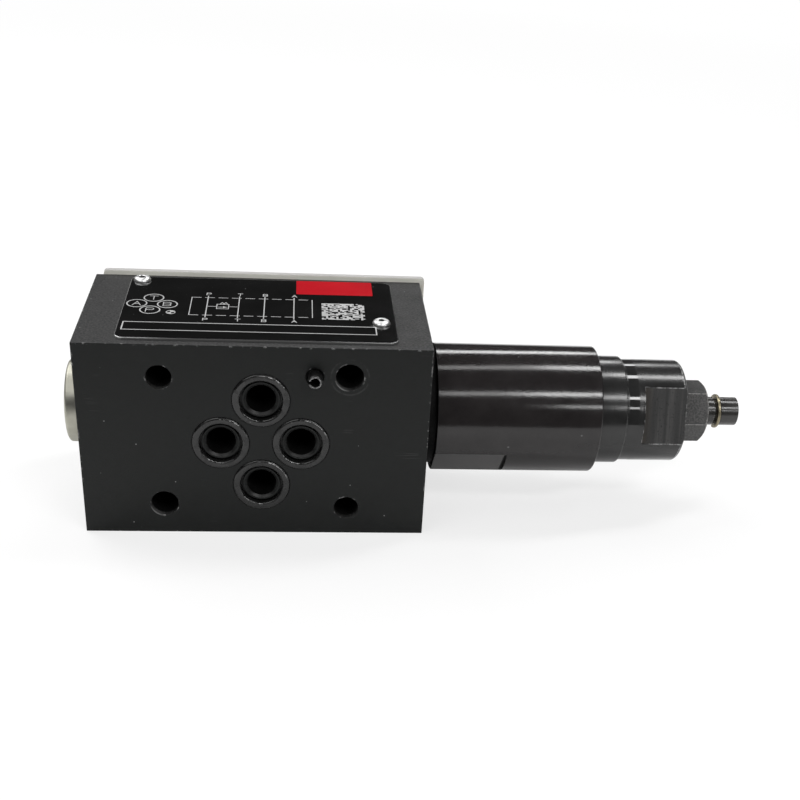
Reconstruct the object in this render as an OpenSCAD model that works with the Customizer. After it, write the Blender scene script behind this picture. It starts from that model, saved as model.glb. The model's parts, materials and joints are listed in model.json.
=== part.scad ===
// Sandwich relief valve for a size 03 hydraulic stack, in millimetres.
// X runs along the cartridge, the sealing face lies in the plane y = 0 and +Z is the name plate side.
// The origin is the centre of the bolt pattern on the sealing face.

/* [Body block] */
// Length of the block along the cartridge
body_l = 76; // [72:1:100]
// Distance between the two mounting faces
body_h = 40; // [38:1:60]
// Width of the block up to the name plate face
body_w = 46; // [44:1:60]
// Chamfer on every edge of the block
body_edge = 0.5; // [0.2:0.1:1.2]

/* [Port pattern] */
// Distance of the bolts from the centre along X
bolt_x = 20.25; // [19:0.25:22]
// Distance of the plug side bolts from the centre along Z
bolt_z_plug = 15.5; // [15:0.25:17]
// Distance of the cartridge side bolts from the centre along Z
bolt_z_cart = 16.25; // [15.5:0.25:17]
// Diameter of the bolt holes
bolt_hole_d = 5.5; // [4.5:0.1:6.5]
// Place along X of the pressure and return ports
port_mid_x = 1.25; // [0:0.25:2.5]
// Distance of the pressure and return ports from the centre along Z
port_mid_z = 10.4; // [10:0.1:11]
// Distance of port A from the centre, towards the plug
port_a_out = 7.55; // [7:0.05:9]
// Distance of port B from the centre, towards the cartridge
port_b_out = 9.95; // [8.5:0.05:10.2]
// Diameter of the four ports
port_d = 6.5; // [4:0.1:7]

/* [Port seals] */
// Inner diameter of a port seal
seal_inner_d = 9.25; // [8:0.05:9.5]
// Thickness of a port seal
seal_t = 1.78; // [1.2:0.02:2]
// Gap between a port's seal and the lip inside it
port_lip_gap = 0.5; // [0.3:0.05:0.7]
// How far the lip lies below the sealing face
port_lip_in = 0.55; // [0.3:0.05:0.9]
// How far a port seal stands out of its recess
seal_proud = 0.38; // [0.2:0.02:0.5]

/* [Locating pin] */
// Place of the pin along X
pin_x = 12.75; // [10:0.25:14]
// Place of the pin along Z
pin_z = 16.25; // [15:0.25:18]
// Diameter of the pin where it stands out
pin_d = 3.175; // [2.5:0.025:4]
// How far the pin stands out of the sealing face
pin_proud = 3; // [2:0.1:5]
// Depth of the pin's hole
pin_deep = 6; // [4:0.5:10]
// Wall of the rolled pin
pin_wall = 0.55; // [0.3:0.05:0.8]
// Width of the slot along the pin
pin_slot = 0.7; // [0.4:0.1:1.2]
// Width of the countersink around the pin
pin_sink = 0.5; // [0.2:0.1:0.8]

/* [Name plate] */
// Length of the name plate
plate_l = 60.2; // [50:0.2:66]
// Width of the name plate
plate_w = 35.6; // [30:0.2:37]
// Thickness of the name plate
plate_t = 0.5; // [0.3:0.1:1]
// Corner radius of the name plate
plate_corner = 2; // [0.5:0.5:4]
// Offset of the name plate towards the cartridge
plate_shift = 0.6; // [-2:0.1:2]
// Diameter of a drive rivet's head
rivet_head_d = 4; // [3:0.1:5]
// Height of a drive rivet's head
rivet_head_h = 0.9; // [0.5:0.1:1.5]
// Diameter of a drive rivet's shank
rivet_d = 2.2; // [1.5:0.1:2.8]
// Length of a drive rivet's shank in the block
rivet_deep = 5; // [3:0.5:8]
// Distance of the plug side rivet from the plate's end
rivet_in_plug = 2.6; // [2.2:0.1:4]
// Distance of the cartridge side rivet from the plate's end
rivet_in_cart = 3.35; // [2.2:0.05:5]
// Distance of the plug side rivet from the plate's far edge
rivet_far = 2.3; // [2.1:0.1:5]
// Distance of the cartridge side rivet from the plate's near edge
rivet_near = 10.6; // [6:0.1:20]

/* [Face cover] */
// Length of the cover on the far face
cover_l = 75.6; // [70:0.2:90]
// Width of the cover on the far face
cover_w = 46.4; // [42:0.2:58]
// Thickness of the cover
cover_t = 1.5; // [1:0.1:3]
// Corner radius of the cover
cover_corner = 1.5; // [0.5:0.5:4]
// Offset of the cover along X
cover_shift_x = 1.4; // [-2:0.1:2]
// Offset of the cover along Z
cover_shift_z = 0.9; // [0:0.1:2]

/* [End plug] */
// Diameter of the plug's head
plug_head_d = 19; // [17.6:0.1:22]
// Height of the plug's head
plug_head_l = 4.64; // [3:0.02:7]
// Chamfer on the plug's head
plug_edge = 0.5; // [0.2:0.1:1]
// Thread diameter of the plug
plug_thread_d = 14; // [12:0.5:14.5]
// Thread length of the plug
plug_thread_l = 9; // [8:0.5:12]
// Key size of the plug's hexagon socket
plug_key = 7; // [6.5:0.5:8]
// Depth of the plug's hexagon socket
plug_key_deep = 6; // [5:0.5:8]
// Thickness of the plug's seal
plug_seal_t = 1.5; // [1:0.1:1.7]
// Depth of the plug's drilled hole past the thread
plug_drill_l = 5; // [3:0.5:7]

/* [Cartridge cavity] */
// Thread diameter of the cartridge
cart_thread_d = 22; // [21:0.5:23]
// Thread length of the cartridge
cart_thread_l = 9; // [7:0.5:10]
// Thickness of the cartridge's face seal
cart_seal_t = 1.9; // [1.4:0.1:2.2]
// Diameter of the return gallery around the cartridge
gallery_d = 20.5; // [20:0.1:20.8]
// Length of the return gallery
gallery_l = 5; // [4.5:0.5:6]
// Diameter of the nose bore
nose_d = 14; // [13:0.2:15]
// Length of the nose land
nose_l = 4.3; // [4:0.1:5]
// Length of the pressure chamber in front of the nose
nose_room = 2.6; // [2:0.1:3]
// Diameter of the slanted drillings from the ports
drill_d = 4; // [2.5:0.1:4.4]

/* [Cartridge body] */
// Diameter of the neck between the block and the barrel
neck_d = 26.5; // [26:0.5:28]
// Length of the neck
neck_l = 2.5; // [1.5:0.1:4]
// Diameter of the barrel
barrel_d = 29.8; // [29:0.1:33]
// Length of the barrel
barrel_l = 38; // [36:0.1:45]
// Distance across the barrel's two wrench flats
barrel_flat_af = 28; // [26.5:0.1:28.8]
// Length of the barrel's wrench flats
barrel_flat_l = 16.6; // [10:0.1:20]
// Tilt of the barrel's flats from the front
barrel_flat_turn = 41; // [0:1:90]
// Edge chamfer of the turned parts
turned_edge = 0.4; // [0.2:0.1:0.6]
// Diameter of the waist inside the return gallery
waist_d = 17.5; // [17:0.1:18.5]
// Diameter of the holes from the main bore into the gallery
cross_d = 3.6; // [2.5:0.1:3.8]
// Diameter of the drain drilling along the cartridge
drain_d = 1.4; // [1:0.1:1.6]

/* [Main stage] */
// Diameter of the inlet hole in the nose
inlet_d = 6; // [5:0.1:6.6]
// Length of the inlet hole
inlet_l = 3.5; // [3:0.1:4.2]
// Diameter of the main piston
piston_d = 9; // [8:0.1:9.6]
// Length of the main piston behind its cone
piston_l = 13; // [10:0.5:14]
// Diameter of the damping hole in the main piston
damp_d = 1; // [0.6:0.1:1.5]
// Length of the main piston's solid end
piston_floor = 5; // [3:0.5:6]
// Outer diameter of the main spring
main_spring_d = 5.6; // [5:0.1:6]
// Wire diameter of the main spring
main_wire = 0.8; // [0.6:0.1:0.9]
// Number of coils in the main spring
main_coils = 9; // [6:1:10]
// Free space between the main piston and the pilot seat
main_room = 8; // [6:0.5:9]

/* [Pilot stage] */
// Diameter of the pilot seat
seat_d = 10.6; // [10.4:0.1:11]
// Length of the pilot seat
seat_l = 6; // [4:0.5:7]
// Diameter of the hole in the pilot seat
seat_hole_d = 2.4; // [1.6:0.1:3]
// Diameter of the pilot chamber
pilot_room_d = 16; // [15.5:0.1:16.4]
// Length of the pilot poppet's stem in front of its flange
poppet_l = 4.5; // [3.5:0.1:6]
// Diameter of the pilot poppet's flange
poppet_flange_d = 11.4; // [11:0.1:12.5]
// Thickness of the pilot poppet's flange
poppet_flange_t = 2; // [1.5:0.1:3]
// Diameter of the stems that centre the pilot spring
spring_stem_d = 5.6; // [4:0.1:6]
// Length of the stems that centre the pilot spring
spring_stem_l = 4; // [3:0.1:5]
// Outer diameter of the pilot spring
pilot_spring_d = 10.4; // [10:0.1:11]
// Wire diameter of the pilot spring
pilot_wire = 1.8; // [1.4:0.1:2]
// Number of coils in the pilot spring
pilot_coils = 6; // [5:1:7]
// Length of the pilot spring as set
pilot_spring_l = 19; // [17:0.5:21]

/* [Adjuster] */
// Thread diameter of the cap's spigot
spigot_d = 20; // [19:0.1:22]
// Length of the cap's spigot
spigot_l = 12; // [10:0.5:13]
// Diameter of the collar
collar_d = 25.4; // [24:0.1:28]
// Length of the collar
collar_l = 6.4; // [4:0.1:9]
// Diameter of the cap
cap_d = 24.1; // [22:0.1:24.4]
// Length of the cap
cap_l = 14.5; // [12:0.01:18]
// Distance across the cap's two flats
cap_flat_af = 20; // [18:0.1:21]
// Length of the round band between the collar and the flats
cap_band_l = 3.6; // [2:0.1:5]
// Tilt of the cap's flats from the front
cap_flat_turn = 18; // [0:1:90]
// Thickness of the cap's seal
cap_seal_t = 1.6; // [1.2:0.1:1.8]
// Diameter of the spring plunger
plunger_d = 13; // [12.2:0.1:13.6]
// Length of the spring plunger
plunger_l = 11; // [9:0.5:12]
// Thickness of the plunger's seal
plunger_seal_t = 1.6; // [1.2:0.1:2]
// Diameter of the adjusting screw's thread
screw_d = 7.94; // [7:0.01:8.5]
// Length of the cap's threaded hole
cap_thread_l = 8; // [6:0.5:9]
// Diameter of the screw's plain end
stub_d = 6.75; // [5.5:0.05:7]
// How far the screw stands out of the locknut
stub_l = 8.26; // [7:0.02:12]
// Key size of the screw's hexagon socket
screw_key = 3.175; // [2.5:0.025:3.6]
// Depth of the screw's hexagon socket
screw_key_deep = 3.6; // [2:0.1:4]
// Distance across the locknut's flats
nut_af = 12.7; // [11.5:0.1:14]
// Length of the locknut
nut_l = 6.75; // [5:0.01:8]
// Turn of the locknut's corners from the front
nut_turn = 1; // [0:1:59]
// Thickness of the seal inside the locknut
nut_seal_t = 1.3; // [1:0.1:1.5]
// Outer diameter of the retaining ring
ring_d = 8.1; // [7.6:0.1:9]
// Thickness of the retaining ring
ring_t = 1.1; // [0.8:0.1:1.4]
// Distance of the retaining ring from the screw's end
ring_in = 4.34; // [3:0.02:4.8]
// Width of the retaining ring's gap
ring_gap = 1.6; // [1:0.1:2.5]

/* [Fits] */
// Clearance on the radius of a sliding or threaded fit
run_fit = 0.05; // [0.02:0.01:0.1]
// Clearance on the radius of a pressed or fixed fit
fixed_fit = 0.02; // [0.01:0.01:0.05]
// Clearance around a seal in its groove
seal_fit = 0.04; // [0.02:0.01:0.1]
// Gap between a closed poppet and its seat
seat_gap = 0.05; // [0.03:0.01:0.1]

/* [Hidden] */
$fn = 72;
eps = 0.01;
// Small steps and lands of the turned parts
step_gap = 0.4;
gland_step = 1;
plug_thread_room = 1;
plug_drill_step = 1;
cap_land = 1;
drain_wall = 1;
piston_tip_in = 0.8;
poppet_stem_in = 0.3;
screw_runout = 0.7;
ring_groove_deep = 0.45;
ring_groove_room = 0.5;
pin_squeeze = 0.375;
drill_point = 31;
axis_y = body_h / 2;
top_z = body_w / 2;
face_x = body_l / 2;
// Places along X, from the block's face outwards
barrel_x = face_x + neck_l;
collar_x = barrel_x + barrel_l;
cap_x = collar_x + collar_l;
nut_x = cap_x + cap_l;
nut_end_x = nut_x + nut_l;
screw_end_x = nut_end_x + stub_l;
// Places along X, from the block's face inwards
cart_gland_l = cart_seal_t + 2 * seal_fit;
thread_x = face_x - cart_gland_l - cart_thread_l;
gallery_x = thread_x - gallery_l;
nose_x = gallery_x - nose_l;
cavity_x = nose_x - nose_room;
// Places along X, from the nose through both stages
inlet_x = nose_x + inlet_l;
cross_x = gallery_x + gallery_l / 2;
piston_end_x = inlet_x + (piston_d - inlet_d) / 2 + piston_l;
spring_floor_x = piston_end_x - piston_l + piston_floor;
seat_x = piston_end_x + main_room;
pilot_x = seat_x + seat_l;
flange_x = pilot_x + poppet_l;
flange_end_x = flange_x + poppet_flange_t;
plunger_x = flange_end_x + pilot_spring_l;
plunger_end_x = plunger_x + plunger_l;
spigot_x = collar_x - spigot_l;
cap_thread_x = nut_x - cap_thread_l;
spigot_pocket_x = spigot_x - step_gap;
// Seal and groove sizes
seal_od = seal_inner_d + 2 * seal_t;
recess_d = seal_od + 2 * seal_fit;
recess_deep = seal_t - seal_proud;
port_lip_d = seal_inner_d - 2 * port_lip_gap;
backup_t = 1;
nose_seal_t = 1.5;
nose_groove_l = nose_seal_t + backup_t + 3 * seal_fit;
nose_groove_x = nose_x + (nose_l - nose_groove_l) / 2;
nose_groove_d = nose_d - 2 * nose_seal_t - 2 * seal_fit;
cart_gland_d = cart_thread_d + 2 * gland_step;
cart_undercut_d = cart_gland_d - 2 * cart_seal_t - 4 * seal_fit;
plug_gland_l = plug_seal_t + 2 * seal_fit;
plug_gland_d = plug_thread_d + 2 * gland_step;
plug_undercut_d = plug_gland_d - 2 * plug_seal_t - 4 * seal_fit;
plug_hole_x = -face_x + plug_gland_l + plug_thread_l;
cap_groove_l = cap_seal_t + 2 * seal_fit;
cap_groove_x = collar_x - cap_land - cap_groove_l;
cap_groove_d = spigot_d - 2 * cap_seal_t - 2 * seal_fit;
plunger_groove_l = plunger_seal_t + 2 * seal_fit;
plunger_groove_x = plunger_x + (plunger_l - plunger_groove_l) / 2;
plunger_groove_d = plunger_d - 2 * plunger_seal_t - 2 * seal_fit;
nut_recess_l = nut_seal_t + 2 * seal_fit;
nut_recess_d = screw_d + 2 * nut_seal_t + 4 * seal_fit;
screw_thread_end_x = nut_end_x - screw_runout;
ring_x = screw_end_x - ring_in - ring_t;
ring_groove_d = stub_d - 2 * ring_groove_deep;
pin_hole_d = pin_d - pin_squeeze;
drain_r = waist_d / 2 - drain_d / 2 - drain_wall;
cone_tip_r = 0.5;

// Places of the ports and bolts, as [x, z]
PORT_P = [port_mid_x, port_mid_z];
PORT_T = [port_mid_x, -port_mid_z];
PORT_A = [-port_a_out, 0];
PORT_B = [port_b_out, 0];
PORTS = [PORT_P, PORT_T, PORT_A, PORT_B];
BOLTS = [
  [-bolt_x, -bolt_z_plug],
  [bolt_x, -bolt_z_cart],
  [bolt_x, bolt_z_cart],
  [-bolt_x, bolt_z_plug]
];
plate_x0 = plate_shift - plate_l / 2;
plate_y0 = axis_y - plate_w / 2;
RIVETS = [
  [plate_x0 + rivet_in_plug, plate_y0 + plate_w - rivet_far],
  [plate_x0 + plate_l - rivet_in_cart, plate_y0 + rivet_near]
];

// Turns a profile of [radius, x] points about the cartridge's axis
module turned(profile) {
  translate([0, axis_y, 0])
    rotate([0, 90, 0])
      rotate_extrude()
        polygon(profile);
}

// A round bar or hole along the cartridge's axis
module bar(d, x0, x1) {
  translate([x0, axis_y, 0])
    rotate([0, 90, 0])
      cylinder(d = d, h = x1 - x0);
}

// A hexagon bar or socket along the cartridge's axis, with a corner towards the front
module hex_bar(af, x0, x1, turn = 0) {
  translate([x0, axis_y, 0])
    rotate([90 + turn, 0, 0])
      rotate([0, 90, 0])
        cylinder(d = af / cos(30), h = x1 - x0, $fn = 6);
}

// A hole through the block, square to the sealing face, at a place [x, z]
module face_hole(place, d, y0, y1) {
  translate([place[0], y0, place[1]])
    rotate([-90, 0, 0])
      cylinder(d = d, h = y1 - y0);
}

// A ring seal on the cartridge's axis, touching neither side of its groove
module axis_seal(inner_d, t, x0) {
  translate([x0 + t / 2, axis_y, 0])
    rotate([0, 90, 0])
      rotate_extrude()
        translate([inner_d / 2 + t / 2, 0])
          circle(d = t, $fn = 32);
}

// A ring seal in a port's recess
module port_seal(place) {
  translate([place[0], recess_deep - seal_t / 2, place[1]])
    rotate([90, 0, 0])
      rotate_extrude()
        translate([seal_inner_d / 2 + seal_t / 2, 0])
          circle(d = seal_t, $fn = 32);
}

// A straight drilling between two points
module drilling(from, to, d) {
  run = to - from;
  translate(from)
    rotate([0, acos(run[2] / norm(run)), atan2(run[1], run[0])])
      cylinder(d = d, h = norm(run));
}

// Two opposite flats cut on a round part, square to a direction tilted up from the front
module flats(af, outer_d, x0, x1, turn) {
  for (side = [0, 180])
    translate([x0, axis_y, 0])
      rotate([side - turn, 0, 0])
        translate([0, -outer_d, -outer_d])
          cube([x1 - x0, outer_d - af / 2, 2 * outer_d]);
}

// A rectangle with round corners, from one corner at the origin
module round_rect(l, w, r) {
  translate([r, 0])
    square([l - 2 * r, w]);
  translate([0, r])
    square([l, w - 2 * r]);
  for (x = [r, l - r], y = [r, w - r])
    translate([x, y])
      circle(r = r, $fn = 32);
}

// Outline of one side of the block, with its corners cut
module cut_rect(l, w) {
  polygon([
    [body_edge, 0], [l - body_edge, 0], [l, body_edge], [l, w - body_edge],
    [l - body_edge, w], [body_edge, w], [0, w - body_edge], [0, body_edge]
  ]);
}

// A coiled spring with closed ends, as one tube swept along its helix
module coil(outer_d, wire, coils, x0, x1) {
  steps = 16;
  sides = 6;
  rings = coils * steps;
  closed = 1.1 * wire;
  coil_r = (outer_d - wire) / 2;
  rise = [
    [0, x0 + wire / 2],
    [1, x0 + wire / 2 + closed],
    [coils - 1, x1 - wire / 2 - closed],
    [coils, x1 - wire / 2]
  ];
  points = [
    for (i = [0:rings], j = [0:sides - 1])
      let (
        turn = 360 * i / steps,
        around = 360 * j / sides,
        r = coil_r + wire / 2 * cos(around)
      )
      [lookup(i / steps, rise) + wire / 2 * sin(around), axis_y + r * cos(turn), r * sin(turn)]
  ];
  walls = [
    for (i = [0:rings - 1], j = [0:sides - 1])
      let (next = (j + 1) % sides)
      [i * sides + j, (i + 1) * sides + j, (i + 1) * sides + next, i * sides + next]
  ];
  start = [[for (j = [0:sides - 1]) j]];
  finish = [[for (j = [sides - 1:-1:0]) rings * sides + j]];
  polyhedron(points, concat(walls, start, finish), convexity = 10);
}

module block() {
  intersection() {
    translate([-face_x, body_h, -top_z])
      rotate([90, 0, 0])
        linear_extrude(body_h)
          cut_rect(body_l, body_w);
    translate([-face_x, 0, -top_z])
      linear_extrude(body_w)
        cut_rect(body_l, body_h);
    translate([-face_x, 0, -top_z])
      rotate([90, 0, 90])
        linear_extrude(body_l)
          cut_rect(body_h, body_w);
  }
}

// Threaded hole for the cartridge, with its seal gland, return gallery and nose bore
module cartridge_cavity() {
  turned([
    [0, cavity_x], [nose_d / 2, cavity_x], [nose_d / 2, gallery_x], [gallery_d / 2, gallery_x],
    [gallery_d / 2, thread_x], [cart_thread_d / 2, thread_x], [cart_thread_d / 2, face_x - cart_gland_l],
    [cart_gland_d / 2, face_x - cart_gland_l], [cart_gland_d / 2, face_x + eps], [0, face_x + eps]
  ]);
}

// Threaded blind hole for the end plug, with its seal gland and drill point
module plug_cavity() {
  drill_r = plug_thread_d / 2 - plug_drill_step;
  turned([
    [0, -face_x - eps], [plug_gland_d / 2, -face_x - eps], [plug_gland_d / 2, -face_x + plug_gland_l],
    [plug_thread_d / 2, -face_x + plug_gland_l], [plug_thread_d / 2, plug_hole_x], [drill_r, plug_hole_x],
    [drill_r, plug_hole_x + plug_drill_l], [0, plug_hole_x + plug_drill_l + drill_r * tan(drill_point)]
  ]);
}

module valve_body() {
  sink_d = pin_d + 2 * pin_sink;
  color("#2b2c2d")
    difference() {
      block();
      cartridge_cavity();
      plug_cavity();
      for (place = PORTS) {
        face_hole(place, port_d, -eps, body_h + eps);
        difference() {
          face_hole(place, recess_d, -eps, recess_deep);
          face_hole(place, port_lip_d, port_lip_in, recess_deep + eps);
        }
      }
      for (place = BOLTS)
        face_hole(place, bolt_hole_d, -eps, body_h + eps);
      face_hole([pin_x, pin_z], pin_hole_d, -eps, pin_deep);
      translate([pin_x, -eps, pin_z])
        rotate([-90, 0, 0])
          cylinder(d1 = sink_d + 2 * eps, d2 = pin_hole_d, h = (sink_d - pin_hole_d) / 2 + eps);
      for (place = RIVETS)
        translate([place[0], place[1], top_z - rivet_deep])
          cylinder(d = rivet_d, h = rivet_deep + eps);
      drilling(
        [PORT_P[0], body_h, PORT_P[1]],
        [nose_x - nose_room / 2, axis_y, nose_d / 2 - drill_d / 2],
        drill_d
      );
      drilling(
        [PORT_T[0], body_h, PORT_T[1]],
        [cross_x, axis_y, -gallery_d / 2 + drill_d / 2],
        drill_d
      );
    }
}

module port_seal_p() {
  color("#1b1b1c") port_seal(PORT_P);
}

module port_seal_t() {
  color("#1b1b1c") port_seal(PORT_T);
}

module port_seal_a() {
  color("#1b1b1c") port_seal(PORT_A);
}

module port_seal_b() {
  color("#1b1b1c") port_seal(PORT_B);
}

// Rolled spring pin, squeezed smaller where the hole holds it
module locating_pin() {
  place = [pin_x, pin_z];
  edge = pin_wall / 2;
  color("#b9b4a6")
    difference() {
      union() {
        face_hole(place, pin_d, edge - pin_proud, 0);
        translate([pin_x, -pin_proud, pin_z])
          rotate([-90, 0, 0])
            cylinder(d1 = pin_d - 2 * edge, d2 = pin_d, h = edge);
        face_hole(place, pin_hole_d, 0, pin_deep);
      }
      face_hole(place, pin_hole_d - 2 * pin_wall, -pin_proud - eps, pin_deep + eps);
      translate([pin_x - pin_d, -pin_proud - eps, pin_z - pin_slot / 2])
        cube([pin_d, pin_proud + pin_deep + 2 * eps, pin_slot]);
    }
}

module name_plate() {
  color("#1d1d1f")
    difference() {
      translate([plate_x0, plate_y0, top_z])
        linear_extrude(plate_t)
          round_rect(plate_l, plate_w, plate_corner);
      for (place = RIVETS)
        translate([place[0], place[1], top_z - eps])
          cylinder(d = rivet_d + 2 * run_fit, h = plate_t + 2 * eps);
    }
}

// Domed drive rivets that hold the name plate
module plate_rivets() {
  dome_r = (pow(rivet_head_d / 2, 2) + pow(rivet_head_h, 2)) / (2 * rivet_head_h);
  seat_z = top_z + plate_t;
  color("#8d8f90")
    for (place = RIVETS)
      translate([place[0], place[1], 0]) {
        translate([0, 0, top_z - rivet_deep])
          cylinder(d = rivet_d - 2 * fixed_fit, h = rivet_deep + plate_t + eps);
        intersection() {
          translate([0, 0, seat_z + rivet_head_h - dome_r])
            sphere(r = dome_r);
          translate([0, 0, seat_z])
            cylinder(d = 2 * rivet_head_d, h = 2 * rivet_head_h);
        }
      }
}

// Flat protective cover stuck over the far mounting face
module face_cover() {
  color("#dcdcd8")
    translate([cover_shift_x - cover_l / 2, body_h + cover_t, cover_shift_z - cover_w / 2])
      rotate([90, 0, 0])
        linear_extrude(cover_t)
          round_rect(cover_l, cover_w, cover_corner);
}

module end_plug() {
  head_r = plug_head_d / 2;
  thread_r = plug_thread_d / 2 - run_fit;
  head_x = -face_x - plug_head_l;
  thread_end_x = plug_hole_x - plug_thread_room;
  color("#b8b6ab")
    difference() {
      turned([
        [0, head_x], [head_r - plug_edge, head_x], [head_r, head_x + plug_edge], [head_r, -face_x],
        [plug_undercut_d / 2, -face_x], [plug_undercut_d / 2, -face_x + plug_gland_l],
        [thread_r, -face_x + plug_gland_l], [thread_r, thread_end_x - turned_edge],
        [thread_r - turned_edge, thread_end_x], [0, thread_end_x]
      ]);
      hex_bar(plug_key, head_x - eps, head_x + plug_key_deep);
    }
}

module end_plug_seal() {
  color("#1b1b1c")
    axis_seal(plug_undercut_d + 2 * seal_fit, plug_seal_t, -face_x + seal_fit);
}

// Outside of the cartridge: nose, waist, thread, neck and barrel
module cartridge_outline() {
  nose_r = nose_d / 2 - run_fit;
  thread_r = cart_thread_d / 2 - run_fit;
  barrel_r = barrel_d / 2;
  turned([
    [0, nose_x], [nose_r - turned_edge, nose_x], [nose_r, nose_x + turned_edge],
    [nose_r, nose_groove_x], [nose_groove_d / 2, nose_groove_x],
    [nose_groove_d / 2, nose_groove_x + nose_groove_l], [nose_r, nose_groove_x + nose_groove_l],
    [nose_r, gallery_x + step_gap], [waist_d / 2, gallery_x + step_gap], [waist_d / 2, thread_x],
    [thread_r, thread_x + (thread_r - waist_d / 2)], [thread_r, face_x - cart_gland_l],
    [cart_undercut_d / 2, face_x - cart_gland_l], [cart_undercut_d / 2, face_x],
    [neck_d / 2, face_x], [neck_d / 2, barrel_x], [barrel_r - turned_edge, barrel_x],
    [barrel_r, barrel_x + turned_edge], [barrel_r, collar_x - turned_edge],
    [barrel_r - turned_edge, collar_x], [0, collar_x]
  ]);
}

// Inside of the cartridge: inlet, main bore, seat pocket, pilot chamber and spigot thread
module cartridge_bore() {
  turned([
    [0, nose_x - eps], [inlet_d / 2, nose_x - eps], [inlet_d / 2, inlet_x], [piston_d / 2, inlet_x],
    [piston_d / 2, seat_x], [seat_d / 2, seat_x], [seat_d / 2, pilot_x], [pilot_room_d / 2, pilot_x],
    [pilot_room_d / 2, spigot_pocket_x], [spigot_d / 2, spigot_pocket_x],
    [spigot_d / 2, collar_x + eps], [0, collar_x + eps]
  ]);
}

module cartridge_body() {
  color("#232221")
    difference() {
      cartridge_outline();
      cartridge_bore();
      for (turn = [0, 90])
        translate([cross_x, axis_y, 0])
          rotate([turn, 0, 0])
            translate([0, 0, -waist_d])
              cylinder(d = cross_d, h = 2 * waist_d);
      translate([0, 0, drain_r])
        bar(drain_d, cross_x, pilot_x + eps);
      flats(barrel_flat_af, barrel_d, barrel_x - eps, barrel_x + barrel_flat_l, -barrel_flat_turn);
    }
}

module cartridge_face_seal() {
  color("#1b1b1c")
    axis_seal(cart_undercut_d + 2 * seal_fit, cart_seal_t, face_x - cart_gland_l + seal_fit);
}

module nose_seal() {
  color("#1b1b1c")
    axis_seal(nose_groove_d + 2 * seal_fit, nose_seal_t - seal_fit, nose_groove_x + seal_fit);
}

module nose_backup_ring() {
  x0 = nose_groove_x + nose_groove_l - backup_t - seal_fit / 2;
  color("#e8e4d8")
    difference() {
      bar(nose_d - 2 * fixed_fit, x0, x0 + backup_t);
      bar(nose_groove_d + 2 * fixed_fit, x0 - eps, x0 + backup_t + eps);
    }
}

// Main piston with its seat cone, damping hole and spring pocket
module main_piston() {
  r = piston_d / 2 - run_fit;
  tip_r = inlet_d / 2 - piston_tip_in;
  cone_x = inlet_x + seat_gap - inlet_d / 2;
  color("#9a9c9d")
    difference() {
      turned([
        [0, cone_x + tip_r], [tip_r, cone_x + tip_r], [r, cone_x + r],
        [r, piston_end_x - turned_edge], [r - turned_edge, piston_end_x], [0, piston_end_x]
      ]);
      bar(damp_d, inlet_x - inlet_d, piston_end_x);
      bar(main_spring_d + 8 * run_fit, spring_floor_x, piston_end_x + eps);
    }
}

module main_spring() {
  color("#7f8486") coil(main_spring_d, main_wire, main_coils, spring_floor_x, seat_x);
}

module pilot_seat() {
  r = seat_d / 2 - fixed_fit;
  color("#a3a5a6")
    difference() {
      bar(2 * r, seat_x, pilot_x);
      bar(seat_hole_d, seat_x - eps, pilot_x + eps);
    }
}

module pilot_poppet() {
  stem_r = spring_stem_d / 2;
  cone_r = stem_r - poppet_stem_in;
  cone_x = pilot_x + seat_gap - seat_hole_d / 2;
  color("#a9abac")
    turned([
      [0, cone_x + cone_tip_r], [cone_tip_r, cone_x + cone_tip_r], [cone_r, cone_x + cone_r],
      [cone_r, flange_x], [poppet_flange_d / 2, flange_x], [poppet_flange_d / 2, flange_end_x],
      [stem_r, flange_end_x], [stem_r, flange_end_x + spring_stem_l - turned_edge],
      [stem_r - turned_edge, flange_end_x + spring_stem_l], [0, flange_end_x + spring_stem_l]
    ]);
}

module pilot_spring() {
  color("#7f8486") coil(pilot_spring_d, pilot_wire, pilot_coils, flange_end_x, plunger_x);
}

// Adjuster cap: threaded spigot, collar, polished band and two flats
module adjuster_cap() {
  spigot_r = spigot_d / 2 - run_fit;
  cap_r = cap_d / 2;
  collar_r = collar_d / 2;
  color("#232221")
    difference() {
      turned([
        [plunger_d / 2, spigot_x], [spigot_r - turned_edge, spigot_x], [spigot_r, spigot_x + turned_edge],
        [spigot_r, cap_groove_x], [cap_groove_d / 2, cap_groove_x],
        [cap_groove_d / 2, cap_groove_x + cap_groove_l], [spigot_r, cap_groove_x + cap_groove_l],
        [spigot_r, collar_x], [collar_r, collar_x], [collar_r, cap_x - turned_edge],
        [collar_r - turned_edge, cap_x], [cap_r, cap_x], [cap_r, nut_x - turned_edge],
        [cap_r - turned_edge, nut_x], [screw_d / 2 + run_fit, nut_x],
        [screw_d / 2 + run_fit, cap_thread_x], [plunger_d / 2, cap_thread_x]
      ]);
      flats(cap_flat_af, cap_d, cap_x + cap_band_l, nut_x + eps, cap_flat_turn);
    }
}

module cap_seal() {
  color("#1b1b1c") axis_seal(cap_groove_d + 2 * seal_fit, cap_seal_t - seal_fit, cap_groove_x + seal_fit);
}

// Plunger that the screw pushes against the pilot spring
module spring_plunger() {
  r = plunger_d / 2 - run_fit;
  stem_r = spring_stem_d / 2;
  color("#9a9c9d")
    turned([
      [0, plunger_x - spring_stem_l], [stem_r - turned_edge, plunger_x - spring_stem_l],
      [stem_r, plunger_x - spring_stem_l + turned_edge], [stem_r, plunger_x], [r, plunger_x],
      [r, plunger_groove_x], [plunger_groove_d / 2, plunger_groove_x],
      [plunger_groove_d / 2, plunger_groove_x + plunger_groove_l],
      [r, plunger_groove_x + plunger_groove_l], [r, plunger_end_x - turned_edge],
      [r - turned_edge, plunger_end_x], [0, plunger_end_x]
    ]);
}

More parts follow.
